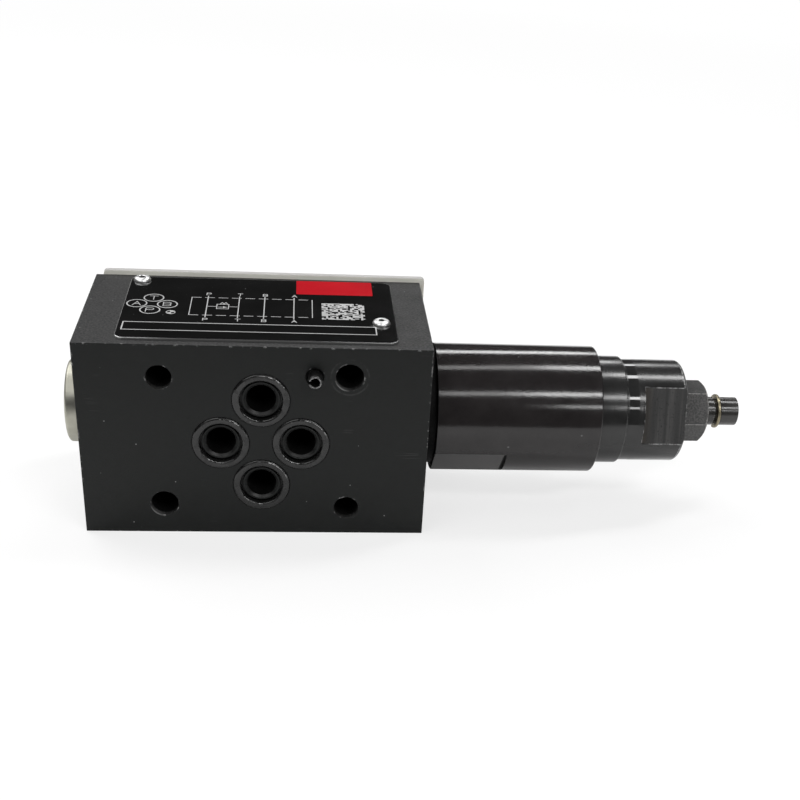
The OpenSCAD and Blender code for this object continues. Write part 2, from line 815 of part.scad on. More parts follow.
module plunger_seal() {
  color("#1b1b1c")
    axis_seal(plunger_groove_d + 2 * seal_fit, plunger_seal_t - seal_fit, plunger_groove_x + seal_fit);
}

module adjusting_screw() {
  thread_r = screw_d / 2;
  stub_r = stub_d / 2;
  groove_r = ring_groove_d / 2;
  color("#2a2928")
    difference() {
      turned([
        [0, plunger_end_x], [thread_r - turned_edge, plunger_end_x], [thread_r, plunger_end_x + turned_edge],
        [thread_r, screw_thread_end_x - thread_r + stub_r], [stub_r, screw_thread_end_x],
        [stub_r, ring_x - ring_groove_room], [groove_r, ring_x - ring_groove_room],
        [groove_r, ring_x + ring_t + fixed_fit], [stub_r, ring_x + ring_t + fixed_fit],
        [stub_r, screw_end_x - turned_edge], [stub_r - turned_edge, screw_end_x], [0, screw_end_x]
      ]);
      hex_bar(screw_key, screw_end_x - screw_key_deep, screw_end_x + eps);
    }
}

module retaining_ring() {
  color("#b3a27c")
    difference() {
      bar(ring_d, ring_x, ring_x + ring_t);
      bar(ring_groove_d + 2 * fixed_fit, ring_x - eps, ring_x + ring_t + eps);
      translate([ring_x - eps, axis_y - ring_gap / 2, -ring_d])
        cube([ring_t + 2 * eps, ring_gap, ring_d]);
    }
}

// Hexagon locknut with a chamfered outer end and a seal recess against the cap
module locknut() {
  corner_r = nut_af / 2 / cos(30);
  crown = corner_r - nut_af / 2 + turned_edge;
  color("#2a2a2a")
    difference() {
      intersection() {
        hex_bar(nut_af, nut_x, nut_end_x, nut_turn);
        turned([
          [0, nut_x], [corner_r + eps, nut_x], [corner_r + eps, nut_end_x - crown * tan(30)],
          [corner_r - crown, nut_end_x], [0, nut_end_x]
        ]);
      }
      bar(screw_d + 2 * run_fit, nut_x - eps, nut_end_x + eps);
      bar(nut_recess_d, nut_x - eps, nut_x + nut_recess_l);
    }
}

module nut_seal() {
  color("#1b1b1c") axis_seal(screw_d + 2 * seal_fit, nut_seal_t, nut_x + seal_fit);
}

valve_body();
port_seal_p();
port_seal_t();
port_seal_a();
port_seal_b();
locating_pin();
name_plate();
plate_rivets();
face_cover();
end_plug();
end_plug_seal();
cartridge_body();
cartridge_face_seal();
nose_seal();
nose_backup_ring();
main_piston();
main_spring();
pilot_seat();
pilot_poppet();
pilot_spring();
adjuster_cap();
cap_seal();
spring_plunger();
plunger_seal();
adjusting_screw();
retaining_ring();
locknut();
nut_seal();
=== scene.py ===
import json
import math
import random

import bmesh
import bpy
from mathutils import Matrix, Vector


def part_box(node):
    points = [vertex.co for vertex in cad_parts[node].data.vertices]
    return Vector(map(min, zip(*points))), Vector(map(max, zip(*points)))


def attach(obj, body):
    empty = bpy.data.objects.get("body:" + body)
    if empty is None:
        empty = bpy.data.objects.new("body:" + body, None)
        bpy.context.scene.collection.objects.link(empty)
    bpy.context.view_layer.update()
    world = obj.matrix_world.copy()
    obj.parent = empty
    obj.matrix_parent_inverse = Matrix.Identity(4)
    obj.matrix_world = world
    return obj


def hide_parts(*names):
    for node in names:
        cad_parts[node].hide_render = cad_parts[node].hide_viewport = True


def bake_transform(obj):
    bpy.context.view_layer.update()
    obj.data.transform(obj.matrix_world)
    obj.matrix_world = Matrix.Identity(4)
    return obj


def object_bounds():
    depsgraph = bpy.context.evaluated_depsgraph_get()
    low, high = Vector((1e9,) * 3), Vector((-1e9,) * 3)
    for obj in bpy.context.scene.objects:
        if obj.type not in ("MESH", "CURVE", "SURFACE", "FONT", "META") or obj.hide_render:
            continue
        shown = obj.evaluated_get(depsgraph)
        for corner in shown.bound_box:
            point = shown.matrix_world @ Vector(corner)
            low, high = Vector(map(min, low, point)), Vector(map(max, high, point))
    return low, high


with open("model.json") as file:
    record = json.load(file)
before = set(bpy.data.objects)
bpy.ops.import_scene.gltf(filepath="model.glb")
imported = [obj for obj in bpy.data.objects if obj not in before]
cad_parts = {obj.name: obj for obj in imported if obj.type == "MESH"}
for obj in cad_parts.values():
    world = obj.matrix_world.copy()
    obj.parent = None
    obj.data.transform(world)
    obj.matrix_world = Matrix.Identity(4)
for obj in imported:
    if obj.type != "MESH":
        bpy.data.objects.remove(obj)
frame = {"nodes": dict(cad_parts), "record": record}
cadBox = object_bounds()
mm = 0.001
scene = bpy.context.scene
scene.view_settings.view_transform = "Standard"

# places that the frame gives
blockLow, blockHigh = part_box("valve_body")
axisY = (blockLow.y + blockHigh.y) / 2  # height of the cartridge's axis over the sealing face
mounts = {mount["name"]: mount for mount in frame["record"]["mounts"]}
portPlaces = [Vector(mounts["port_" + letter]["pos_m"]) for letter in "ptab"]
portRadius = mounts["port_p"]["dims"]["r_mm"] * mm
boltRadius = mounts["bolts_plug_side"]["dims"]["hole_r_mm"] * mm
boltPlaces = []
for side in ("bolts_plug_side", "bolts_cartridge_side"):
    middle = Vector(mounts[side]["pos_m"])
    for sign in (-1, 1):
        boltPlaces.append(middle + Vector((0, 0, sign * mounts[side]["dims"]["spacing_y_mm"] / 2 * mm)))
rivet = {"radius": 2.0 * mm, "land": 1.05 * mm, "dimple": 0.62 * mm, "dimpleDepth": 0.5 * mm,
         "dimpleRim": 0.08 * mm, "dimpleEdge": 0.06 * mm, "dimpleFloor": 0.7, "underCut": 0.12 * mm,
         "underRise": 0.05 * mm, "shank": 1.08 * mm, "shankLength": 5 * mm, "steps": 12, "around": 40}
rivetLow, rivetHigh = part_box("plate_rivets")
rivetPlaces = ((rivetLow.x + rivet["radius"], rivetHigh.y - rivet["radius"]),
               (rivetHigh.x - rivet["radius"], rivetLow.y + rivet["radius"]))
block = {
    "edge": 0.16 * mm,
    "edgeSteps": 3,
    "recessDepth": 1.4 * mm,
    "recessRadius": 6.3 * mm,
    "rim": 0.05 * mm,
    "lipRadius": 4.125 * mm,
    "lipDepth": 0.55 * mm,
    "lipSoft": 0.5 * mm,
    "boltRim": 0.06 * mm,
    "wideMouth": 3.05 * mm,  # two of the bolt holes are opened wider at the face
    "wideDepth": 14 * mm,
    "wideHoles": (0, 3),
    "washerHole": 3,  # a washer left its ring around this one
    "pinSink": 2.0875 * mm,
    "pinHole": 1.4 * mm,
    "pinDepth": 6.3 * mm,
    # depth and radius from the mouth inwards, in millimetres
    "cartridgeBore": ((0, 12), (1.98, 12), (1.98, 11), (10.98, 11), (10.98, 10.25), (15.98, 10.25),
                      (15.98, 7), (22.88, 7), (22.88, 0)),
    "plugBore": ((0, 8), (1.58, 8), (1.58, 7), (10.58, 7), (10.58, 6), (15.58, 6), (19.18, 0)),
    "rivetHole": 1.1 * mm,
    "rivetDepth": 5 * mm,
    # points around each kind of hole
    "portSteps": 72,
    "boltSteps": 56,
    "pinSteps": 40,
    "rivetSteps": 24,
}
print("frame loaded:", len(frame["nodes"]), "nodes")


# camera, solved from the port and bolt places in the photo
photoView = {
    "eye": (8.89 * mm, -242.96 * mm, 129.99 * mm),
    "azimuth": 6.87,
    "elevation": 30.9,
    "roll": 4.05,
    "lens": 55.96,
    "shift": (-0.03, 0.1365),
    "clip": (0.01, 20),
}


def placeCamera(view):
    camera = bpy.data.cameras.new("photoCamera")
    camera.lens = view["lens"]
    camera.shift_x, camera.shift_y = view["shift"]
    camera.clip_start, camera.clip_end = view["clip"]
    holder = bpy.data.objects.new("photoCamera", camera)
    scene.collection.objects.link(holder)
    a, e, roll = (math.radians(view[key]) for key in ("azimuth", "elevation", "roll"))
    forward = Vector((math.sin(a) * math.cos(e), math.cos(a) * math.cos(e), -math.sin(e)))
    level = Vector((math.cos(a), -math.sin(a), 0))
    right = level * math.cos(roll) + level.cross(forward) * math.sin(roll)
    turn = Matrix((right, right.cross(forward), -forward)).transposed()
    holder.matrix_world = Matrix.Translation(view["eye"]) @ turn.to_4x4()
    scene.camera = holder


placeCamera(photoView)
print("camera placed")


# node helpers
def plugIn(tree, socket, value):
    if isinstance(value, bpy.types.NodeSocket):
        tree.links.new(value, socket)
    else:
        socket.default_value = value


def addNode(tree, kind, sockets=None, **settings):
    made = tree.nodes.new("ShaderNode" + kind)
    for key, value in settings.items():
        setattr(made, key, value)
    for key, value in (sockets or {}).items():
        plugIn(tree, made.inputs[key], value)
    return made


def calc(tree, operation, first, second=0.0, clamp=False):
    return addNode(tree, "Math", {0: first, 1: second}, operation=operation, use_clamp=clamp).outputs[0]


def times(tree, first, second):
    return calc(tree, "MULTIPLY", first, second)


def plus(tree, first, second):
    return calc(tree, "ADD", first, second)


def minus(tree, first, second):
    return calc(tree, "SUBTRACT", first, second)


def vectorCalc(tree, operation, first, second=(0.0, 0.0, 0.0)):
    made = addNode(tree, "VectorMath", {0: first, 1: second}, operation=operation)
    return made.outputs["Value" if operation in ("DOT_PRODUCT", "LENGTH", "DISTANCE") else "Vector"]


def remap(tree, value, low, high, outLow=0.0, outHigh=1.0):
    sockets = {"Value": value, "From Min": low, "From Max": high, "To Min": outLow, "To Max": outHigh}
    return addNode(tree, "MapRange", sockets).outputs[0]


def between(tree, share, low, high):
    return remap(tree, share, 0.0, 1.0, low, high)


def blendColour(tree, mask, first, second):
    return addNode(tree, "Mix", {0: mask, 6: first, 7: second}, data_type="RGBA").outputs[2]


def blendValue(tree, mask, first, second):
    return addNode(tree, "Mix", {0: mask, 2: first, 3: second}).outputs[0]


def gray(level, warm=0.0):  # a grey, a little warmer or cooler
    return (level * (1 + warm), level, level * (1 - warm), 1)


def noise(tree, place, scale, detail, roughness=0.5):
    sockets = {"Vector": place, "Scale": scale, "Detail": detail, "Roughness": roughness}
    return addNode(tree, "TexNoise", sockets).outputs[0]


def objectPlace(tree):
    return addNode(tree, "TexCoord").outputs["Object"]


def parts(tree, vector):
    return addNode(tree, "SeparateXYZ", {0: vector}).outputs


def normalParts(tree):
    return parts(tree, addNode(tree, "NewGeometry").outputs["Normal"])


def axisPlace(tree):
    # how far along the cartridge's axis a point lies, and how far off it
    place = parts(tree, objectPlace(tree))
    aside = minus(tree, place["Y"], axisY)
    square = plus(tree, times(tree, aside, aside), times(tree, place["Z"], place["Z"]))
    return place["X"], calc(tree, "SQRT", square)


def startGroup(name, inputs, outputs):
    group = bpy.data.node_groups.new(name, "ShaderNodeTree")
    for label, value in inputs.items():
        kind = "NodeSocketVector" if isinstance(value, tuple) else "NodeSocketFloat"
        group.interface.new_socket(label, in_out="INPUT", socket_type=kind).default_value = value
    for label in outputs:
        group.interface.new_socket(label, in_out="OUTPUT", socket_type="NodeSocketFloat")
    given = group.nodes.new("NodeGroupInput").outputs
    result = group.nodes.new("NodeGroupOutput").inputs
    return group, given, result


def placeGroup(tree, group, sockets):
    made = tree.nodes.new("ShaderNodeGroup")
    made.node_tree = group
    for key, value in sockets.items():
        plugIn(tree, made.inputs[key], value)
    return made.outputs


# shared effects
def makeSurfaceGrain():
    shape = {"wideScale": 0.05, "wideDetail": 5.0, "wideRough": 0.6, "patches": (0.35, 0.68)}
    group, given, result = startGroup("surfaceGrain", {"Scale": 3000.0, "Detail": 3.0}, ("Height", "Patches"))
    place = objectPlace(group)
    fine = noise(group, place, given["Scale"], given["Detail"])
    wideScale = times(group, given["Scale"], shape["wideScale"])
    wide = noise(group, place, wideScale, shape["wideDetail"], shape["wideRough"])
    plugIn(group, result["Height"], fine)
    plugIn(group, result["Patches"], remap(group, wide, *shape["patches"]))
    return group


def makeEdgeWear():
    shape = {"turn": (0.004, 0.06), "chipFloor": 0.78, "amountShare": 0.5, "chipStep": 0.1, "detail": 4.0}
    inputs = {"Radius": 0.4 * mm, "Breakup": 900.0, "Amount": 0.5}
    group, given, result = startGroup("edgeWear", inputs, ("Mask",))
    rounded = addNode(group, "Bevel", {"Radius": given["Radius"]}, samples=6).outputs[0]
    plain = addNode(group, "NewGeometry").outputs["Normal"]
    edge = remap(group, minus(group, 1.0, vectorCalc(group, "DOT_PRODUCT", rounded, plain)), *shape["turn"])
    floor = minus(group, shape["chipFloor"], times(group, given["Amount"], shape["amountShare"]))
    breakup = noise(group, objectPlace(group), given["Breakup"], shape["detail"])
    chips = remap(group, breakup, floor, plus(group, floor, shape["chipStep"]))
    plugIn(group, result["Mask"], times(group, edge, chips))
    return group


def makeDustSpecks():
    softShare = 0.6  # part of a speck's size where it is solid
    inputs = {"Scale": 700.0, "Density": 0.04, "Size": 0.16}
    group, given, result = startGroup("dustSpecks", inputs, ("Mask",))
    cells = addNode(group, "TexVoronoi", {"Vector": objectPlace(group), "Scale": given["Scale"]}).outputs
    pick = addNode(group, "SeparateColor", {0: cells["Color"]}).outputs[0]
    chosen = calc(group, "LESS_THAN", pick, given["Density"])
    near = remap(group, cells["Distance"], given["Size"], times(group, given["Size"], softShare))
    plugIn(group, result["Mask"], times(group, chosen, near))
    return group


def makeHairScratches():
    shape = {"stretch": (0.025, 1.0, 1.0), "middle": 0.5, "thin": (0.006, 0.001), "patchScale": 160.0,
             "patchFloor": 0.72, "amountShare": 0.2, "patchTop": 0.75}
    inputs = {"Direction": (0.0, 0.6, 0.0), "Scale": 500.0, "Amount": 0.5}
    group, given, result = startGroup("hairScratches", inputs, ("Mask",))
    turned = addNode(group, "Mapping", {"Vector": objectPlace(group), "Rotation": given["Direction"],
                                        "Scale": shape["stretch"]}).outputs[0]
    lines = noise(group, turned, given["Scale"], detail=2.0)
    thin = remap(group, calc(group, "ABSOLUTE", minus(group, lines, shape["middle"])), *shape["thin"])
    sparse = noise(group, objectPlace(group), shape["patchScale"], detail=1.0)
    floor = minus(group, shape["patchFloor"], times(group, given["Amount"], shape["amountShare"]))
    plugIn(group, result["Mask"], times(group, thin, remap(group, sparse, floor, shape["patchTop"])))
    return group


def makeTurningMarks():
    # rings left by the tool: along X on a round wall, along the radius on an end face
    wanderScale = 2600.0
    group, given, result = startGroup("turningMarks", {"Lines": 3500.0, "Break": 0.25}, ("Height",))
    sockets = {"W": plus(group, *axisPlace(group)), "Scale": given["Lines"], "Detail": 3.0}
    rings = addNode(group, "TexNoise", sockets, noise_dimensions="1D").outputs[0]
    broken = times(group, noise(group, objectPlace(group), wanderScale, detail=2.0), given["Break"])
    plugIn(group, result["Height"], plus(group, rings, broken))
    return group


def makeCutterMarks():
    # straight strokes across X that a milling cutter leaves on a flat
    shape = {"stretch": (1.0, 0.03, 0.03), "wideScale": 0.25, "fine": (0.35, 0.7), "wide": (0.4, 0.65)}
    group, given, result = startGroup("cutterMarks", {"Lines": 1500.0}, ("Height", "Mask"))
    drawn = addNode(group, "Mapping", {"Vector": objectPlace(group), "Scale": shape["stretch"]}).outputs[0]
    fine = noise(group, drawn, given["Lines"], detail=4.0, roughness=0.65)
    wide = noise(group, drawn, times(group, given["Lines"], shape["wideScale"]), detail=2.0)
    mixed = times(group, remap(group, fine, *shape["fine"]), remap(group, wide, *shape["wide"]))
    plugIn(group, result["Height"], fine)
    plugIn(group, result["Mask"], mixed)
    return group


def makeRubAndPaintedLightArc():
    # a broken ring or arc around a centre, seen along Y: used for a washer's rub, for painted shade at the
    # low side of port mouths and for painted highlight arcs at rims and seal edges
    shape = {"flatten": (1.0, 0.0, 1.0), "sideEdge": 0.3, "gapEdge": 0.16}
    inputs = {"Centre": (0.0, 0.0, 0.0), "Reach": 4.6 * mm, "Width": 0.5 * mm, "Gaps": 0.5,
              "Side": (0.0, 0.0, 0.0), "Spread": 1.0, "Grain": 420.0}
    group, given, result = startGroup("rubAndPaintedLightArc", inputs, ("Mask",))
    place = objectPlace(group)
    away = vectorCalc(group, "SUBTRACT", place, given["Centre"])
    flat = vectorCalc(group, "MULTIPLY", away, shape["flatten"])
    share = vectorCalc(group, "DOT_PRODUCT", vectorCalc(group, "NORMALIZE", flat), given["Side"])
    share = remap(group, plus(group, share, given["Spread"]), 0.0, shape["sideEdge"])
    off = calc(group, "ABSOLUTE", minus(group, vectorCalc(group, "LENGTH", flat), given["Reach"]))
    ring = remap(group, off, given["Width"], 0.0)
    breakup = noise(group, place, given["Grain"], detail=4.0, roughness=0.7)
    kept = remap(group, breakup, given["Gaps"], plus(group, given["Gaps"], shape["gapEdge"]))
    plugIn(group, result["Mask"], times(group, times(group, ring, share), kept))
    return group


surfaceGrain = makeSurfaceGrain()
edgeWear = makeEdgeWear()
dustSpecks = makeDustSpecks()
hairScratches = makeHairScratches()
turningMarks = makeTurningMarks()
cutterMarks = makeCutterMarks()
rubAndPaintedLightArc = makeRubAndPaintedLightArc()
print("shared effects made")


# materials
def startMaterial(name, **sockets):
    material = bpy.data.materials.new(name)
    material.use_nodes = True
    tree = material.node_tree
    shader = tree.nodes["Principled BSDF"]
    for key, value in sockets.items():
        label = {"specular": "Specular IOR Level", "metal": "Metallic", "rough": "Roughness"}[key]
        shader.inputs[label].default_value = value
    return material, tree, shader.inputs


def bumpUp(tree, height, strength, depth):
    return addNode(tree, "Bump", {"Height": height, "Strength": strength, "Distance": depth}).outputs[0]


def nearestOff(tree, keep, places):
    # distance to the nearest of some places, seen along the axis that keep leaves out
    level = vectorCalc(tree, "MULTIPLY", objectPlace(tree), keep)
    least = None
    for place in places:
        off = vectorCalc(tree, "DISTANCE", level, place)
        least = off if least is None else calc(tree, "MINIMUM", least, off)
    return least


def makeBlockCoat():
    # ground port faces are smooth and dark, the sawn sides paler and grainy; painted shade darkens the bores
    # with depth and the lower side of each port mouth, and a painted highlight lies on two bolt rims
    look = {
        "dark": (0.005, 0.0058, 0.0055, 1),
        "light": (0.0077, 0.0087, 0.0083, 1),
        "sideDark": gray(0.01),
        "sideLight": gray(0.035),
        # painted shade colour for the bores and the port mouths
        "bore": gray(0.035),
        "chip": gray(0.3),
        "speck": gray(0.18),
        "scratch": gray(0.026),
        "rub": gray(0.026),
        # painted highlight colour for the wide bolt rims
        "rim": gray(0.2),
        "sawnTurn": (0.75, 0.55),
        "boreShadeDepth": (1.1 * mm, 1.35 * mm),
        "mouthShadeEdge": (0.45, 0.55),
        "pebble": (0.38, 0.64),
        "unchipped": (0.6 * mm, 0.8 * mm),  # around the port recesses
        "rough": (0.4, 0.5),
        "sawnRough": 0.1,
        "sawnRise": 2.6,
        "bump": (0.35, 0.06 * mm),
    }
    scratches = (((0.0, 0.55, 0.0), 330.0), ((0.0, -0.8, 0.0), 240.0))  # direction and scale
    # painted shade crescent below each port mouth
    mouthShade = {"Reach": portRadius + 0.1 * mm, "Width": 0.8 * mm, "Gaps": -0.2, "Side": (0.0, 0.0, -1.0),
            "Spread": -0.35}
    washer = {"Centre": tuple(boltPlaces[block["washerHole"]]), "Reach": 4.1 * mm, "Width": 0.3 * mm,
              "Gaps": 0.42}
    # painted highlight arc on the lower-left of the wide bolt rims
    rimHighlight = {"Reach": block["wideMouth"] + 0.12 * mm, "Width": 0.2 * mm, "Gaps": 0.3,
               "Side": (-0.64, 0.0, -0.77), "Spread": -0.75}
    material, tree, inputs = startMaterial("blockCoat", specular=0.25)
    sawn = remap(tree, calc(tree, "ABSOLUTE", normalParts(tree)["Y"]), *look["sawnTurn"])
    # depth under the nearest outer face
    middle, reach = (blockHigh + blockLow) / 2, (blockHigh - blockLow) / 2
    away = vectorCalc(tree, "ABSOLUTE", vectorCalc(tree, "SUBTRACT", objectPlace(tree), tuple(middle)))
    under = parts(tree, vectorCalc(tree, "SUBTRACT", tuple(reach), away))
    depth = calc(tree, "MINIMUM", calc(tree, "MINIMUM", under["X"], under["Y"]), under["Z"])
    # painted shade: the bores turn dark and metallic with depth under the outer faces
    bore = remap(tree, depth, *look["boreShadeDepth"])
    for place in portPlaces:  # painted shade in a crescent on the lower side of each mouth
        oil = placeGroup(tree, rubAndPaintedLightArc, {"Centre": tuple(place), **mouthShade})
        bore = calc(tree, "MAXIMUM", bore, remap(tree, oil["Mask"], *look["mouthShadeEdge"]))
    grain = placeGroup(tree, surfaceGrain, {"Scale": 3600.0})
    coarse = placeGroup(tree, surfaceGrain, {"Scale": 2000.0})
    colour = blendColour(tree, grain["Patches"], look["dark"], look["light"])
    pebble = remap(tree, coarse["Height"], *look["pebble"])
    side = blendColour(tree, pebble, look["sideDark"], look["sideLight"])
    for direction, scale in scratches:
        lines = placeGroup(tree, hairScratches, {"Direction": direction, "Scale": scale, "Amount": 0.25})
        colour = blendColour(tree, lines["Mask"], colour, look["scratch"])
    colour = blendColour(tree, placeGroup(tree, rubAndPaintedLightArc, washer)["Mask"], colour, look["rub"])
    colour = blendColour(tree, sawn, colour, side)
    specks = placeGroup(tree, dustSpecks, {"Scale": 620.0, "Density": 0.05, "Size": 0.11})
    colour = blendColour(tree, specks["Mask"], colour, look["speck"])
    wear = placeGroup(tree, edgeWear, {"Radius": 0.5 * mm, "Breakup": 700.0, "Amount": 0.46})
    off = nearestOff(tree, (1.0, 0.0, 1.0), [(place.x, 0.0, place.z) for place in portPlaces])
    clear = remap(tree, off, *(block["recessRadius"] + more for more in look["unchipped"]))
    colour = blendColour(tree, times(tree, wear["Mask"], clear), colour, look["chip"])
    for number in block["wideHoles"]:  # painted highlight on the lower-left side of these rims
        bare = placeGroup(tree, rubAndPaintedLightArc, {"Centre": tuple(boltPlaces[number]), **rimHighlight})
        colour = blendColour(tree, bare["Mask"], colour, look["rim"])
    rough = between(tree, grain["Patches"], *look["rough"])
    plugIn(tree, inputs["Base Color"], blendColour(tree, bore, colour, look["bore"]))
    plugIn(tree, inputs["Metallic"], bore)
    plugIn(tree, inputs["Roughness"], plus(tree, rough, times(tree, sawn, look["sawnRough"])))
    rises = times(tree, times(tree, coarse["Height"], sawn), look["sawnRise"])
    plugIn(tree, inputs["Normal"], bumpUp(tree, plus(tree, grain["Height"], rises), *look["bump"]))
    return material


def makeBarrelOxide():
    # brown-black turned finish, its shine broken by a fine mottle, with painted shade in the neck and the
    # cutter's corner
    look = {
        "dark": (0.0142, 0.0125, 0.0126, 1),
        "light": (0.02, 0.0178, 0.0179, 1),
        "paintedShade": gray(0.016),
        "speck": gray(0.09),
        "edge": gray(0.2, 0.04),
        "neckEnd": 40.6 * mm,
        "cornerFade": (56.55 * mm, 56.8 * mm),
        "cornerEnd": 57.3 * mm,
        "cornerRadius": 14.82 * mm,
        "rough": (0.065, 0.1),
        "dull": (0.52, 0.62, 0.0, 0.16),
        "paintedShadeRough": 0.5,
        "mottleRise": 0.8,
        "markRise": 0.3,
        "bump": (1.0, 0.01 * mm),
    }
    material, tree, inputs = startMaterial("barrelOxide", specular=0.42)
    along, radius = axisPlace(tree)
    inner = calc(tree, "LESS_THAN", radius, look["cornerRadius"])
    before = calc(tree, "LESS_THAN", along, look["cornerEnd"])
    corner = times(tree, remap(tree, along, *look["cornerFade"]), before)
    neck = calc(tree, "LESS_THAN", along, look["neckEnd"])
    # painted shade: black and metallic in the neck gap and the cutter's corner
    paintedShade = calc(tree, "MAXIMUM", neck, times(tree, corner, inner))
    grain = placeGroup(tree, surfaceGrain, {"Scale": 4200.0})
    mottle = placeGroup(tree, surfaceGrain, {"Scale": 3000.0, "Detail": 1.0})
    marks = placeGroup(tree, turningMarks, {"Lines": 3200.0, "Break": 0.3})
    wear = placeGroup(tree, edgeWear, {"Radius": 0.25 * mm, "Breakup": 1100.0, "Amount": 0.35})
    specks = placeGroup(tree, dustSpecks, {"Scale": 420.0, "Density": 0.02, "Size": 0.12})
    colour = blendColour(tree, mottle["Patches"], look["dark"], look["light"])
    colour = blendColour(tree, specks["Mask"], colour, look["speck"])
    colour = blendColour(tree, wear["Mask"], colour, look["edge"])
    rough = between(tree, mottle["Patches"], *look["rough"])
    rough = plus(tree, rough, remap(tree, grain["Height"], *look["dull"]))
    height = times(tree, plus(tree, grain["Height"], mottle["Height"]), look["mottleRise"])
    height = plus(tree, height, times(tree, marks["Height"], look["markRise"]))
    plugIn(tree, inputs["Base Color"], blendColour(tree, paintedShade, colour, look["paintedShade"]))
    plugIn(tree, inputs["Metallic"], paintedShade)
    plugIn(tree, inputs["Roughness"], plus(tree, rough, times(tree, paintedShade, look["paintedShadeRough"])))
    plugIn(tree, inputs["Normal"], bumpUp(tree, height, *look["bump"]))
    return material


def makeNutOxide():
    # forged grain, rubbed bright along its corners, with painted shade on the facet that faces up
    look = {
        "low": gray(0.052),
        "high": gray(0.1, 0.02),
        "upFacetShade": gray(0.006),
        "fleck": gray(0.12),
        "worn": gray(0.36, 0.03),
        "grain": (0.36, 0.66),
        "upFacetShadeTurn": (0.4, 0.8, 0.0, 0.75),
        "flecks": (0.64, 0.72),
        "rough": (0.36, 0.55),
        "bump": (0.6, 0.1 * mm),
    }
    material, tree, inputs = startMaterial("nutOxide", specular=0.16)
    grain = placeGroup(tree, surfaceGrain, {"Scale": 2600.0})
    pits = placeGroup(tree, surfaceGrain, {"Scale": 6500.0})
    wear = placeGroup(tree, edgeWear, {"Radius": 0.3 * mm, "Breakup": 1500.0, "Amount": 0.8})
    colour = blendColour(tree, remap(tree, grain["Height"], *look["grain"]), look["low"], look["high"])
    # painted shade: facets that face up turn darker
    upward = parts(tree, addNode(tree, "TexCoord").outputs["Normal"])["Z"]
    colour = blendColour(tree, remap(tree, upward, *look["upFacetShadeTurn"]), colour, look["upFacetShade"])
    colour = blendColour(tree, remap(tree, pits["Height"], *look["flecks"]), colour, look["fleck"])
    plugIn(tree, inputs["Base Color"], blendColour(tree, wear["Mask"], colour, look["worn"]))
    plugIn(tree, inputs["Roughness"], between(tree, grain["Patches"], *look["rough"]))
    plugIn(tree, inputs["Normal"], bumpUp(tree, grain["Height"], *look["bump"]))
    return material


def makeScrewOxide():
    look = {"dark": gray(0.02, 0.04), "light": gray(0.03, 0.05), "worn": gray(0.25, 0.04),
            "rough": (0.2, 0.27), "bump": (0.4, 0.01 * mm)}
    material, tree, inputs = startMaterial("screwOxide", specular=0.5)
    grain = placeGroup(tree, surfaceGrain, {"Scale": 4200.0})
    marks = placeGroup(tree, turningMarks, {"Lines": 5200.0, "Break": 0.3})
    wear = placeGroup(tree, edgeWear, {"Radius": 0.2 * mm, "Breakup": 1300.0, "Amount": 0.5})
    colour = blendColour(tree, grain["Patches"], look["dark"], look["light"])
    plugIn(tree, inputs["Base Color"], blendColour(tree, wear["Mask"], colour, look["worn"]))
    plugIn(tree, inputs["Roughness"], between(tree, grain["Patches"], *look["rough"]))
    plugIn(tree, inputs["Normal"], bumpUp(tree, marks["Height"], *look["bump"]))
    return material


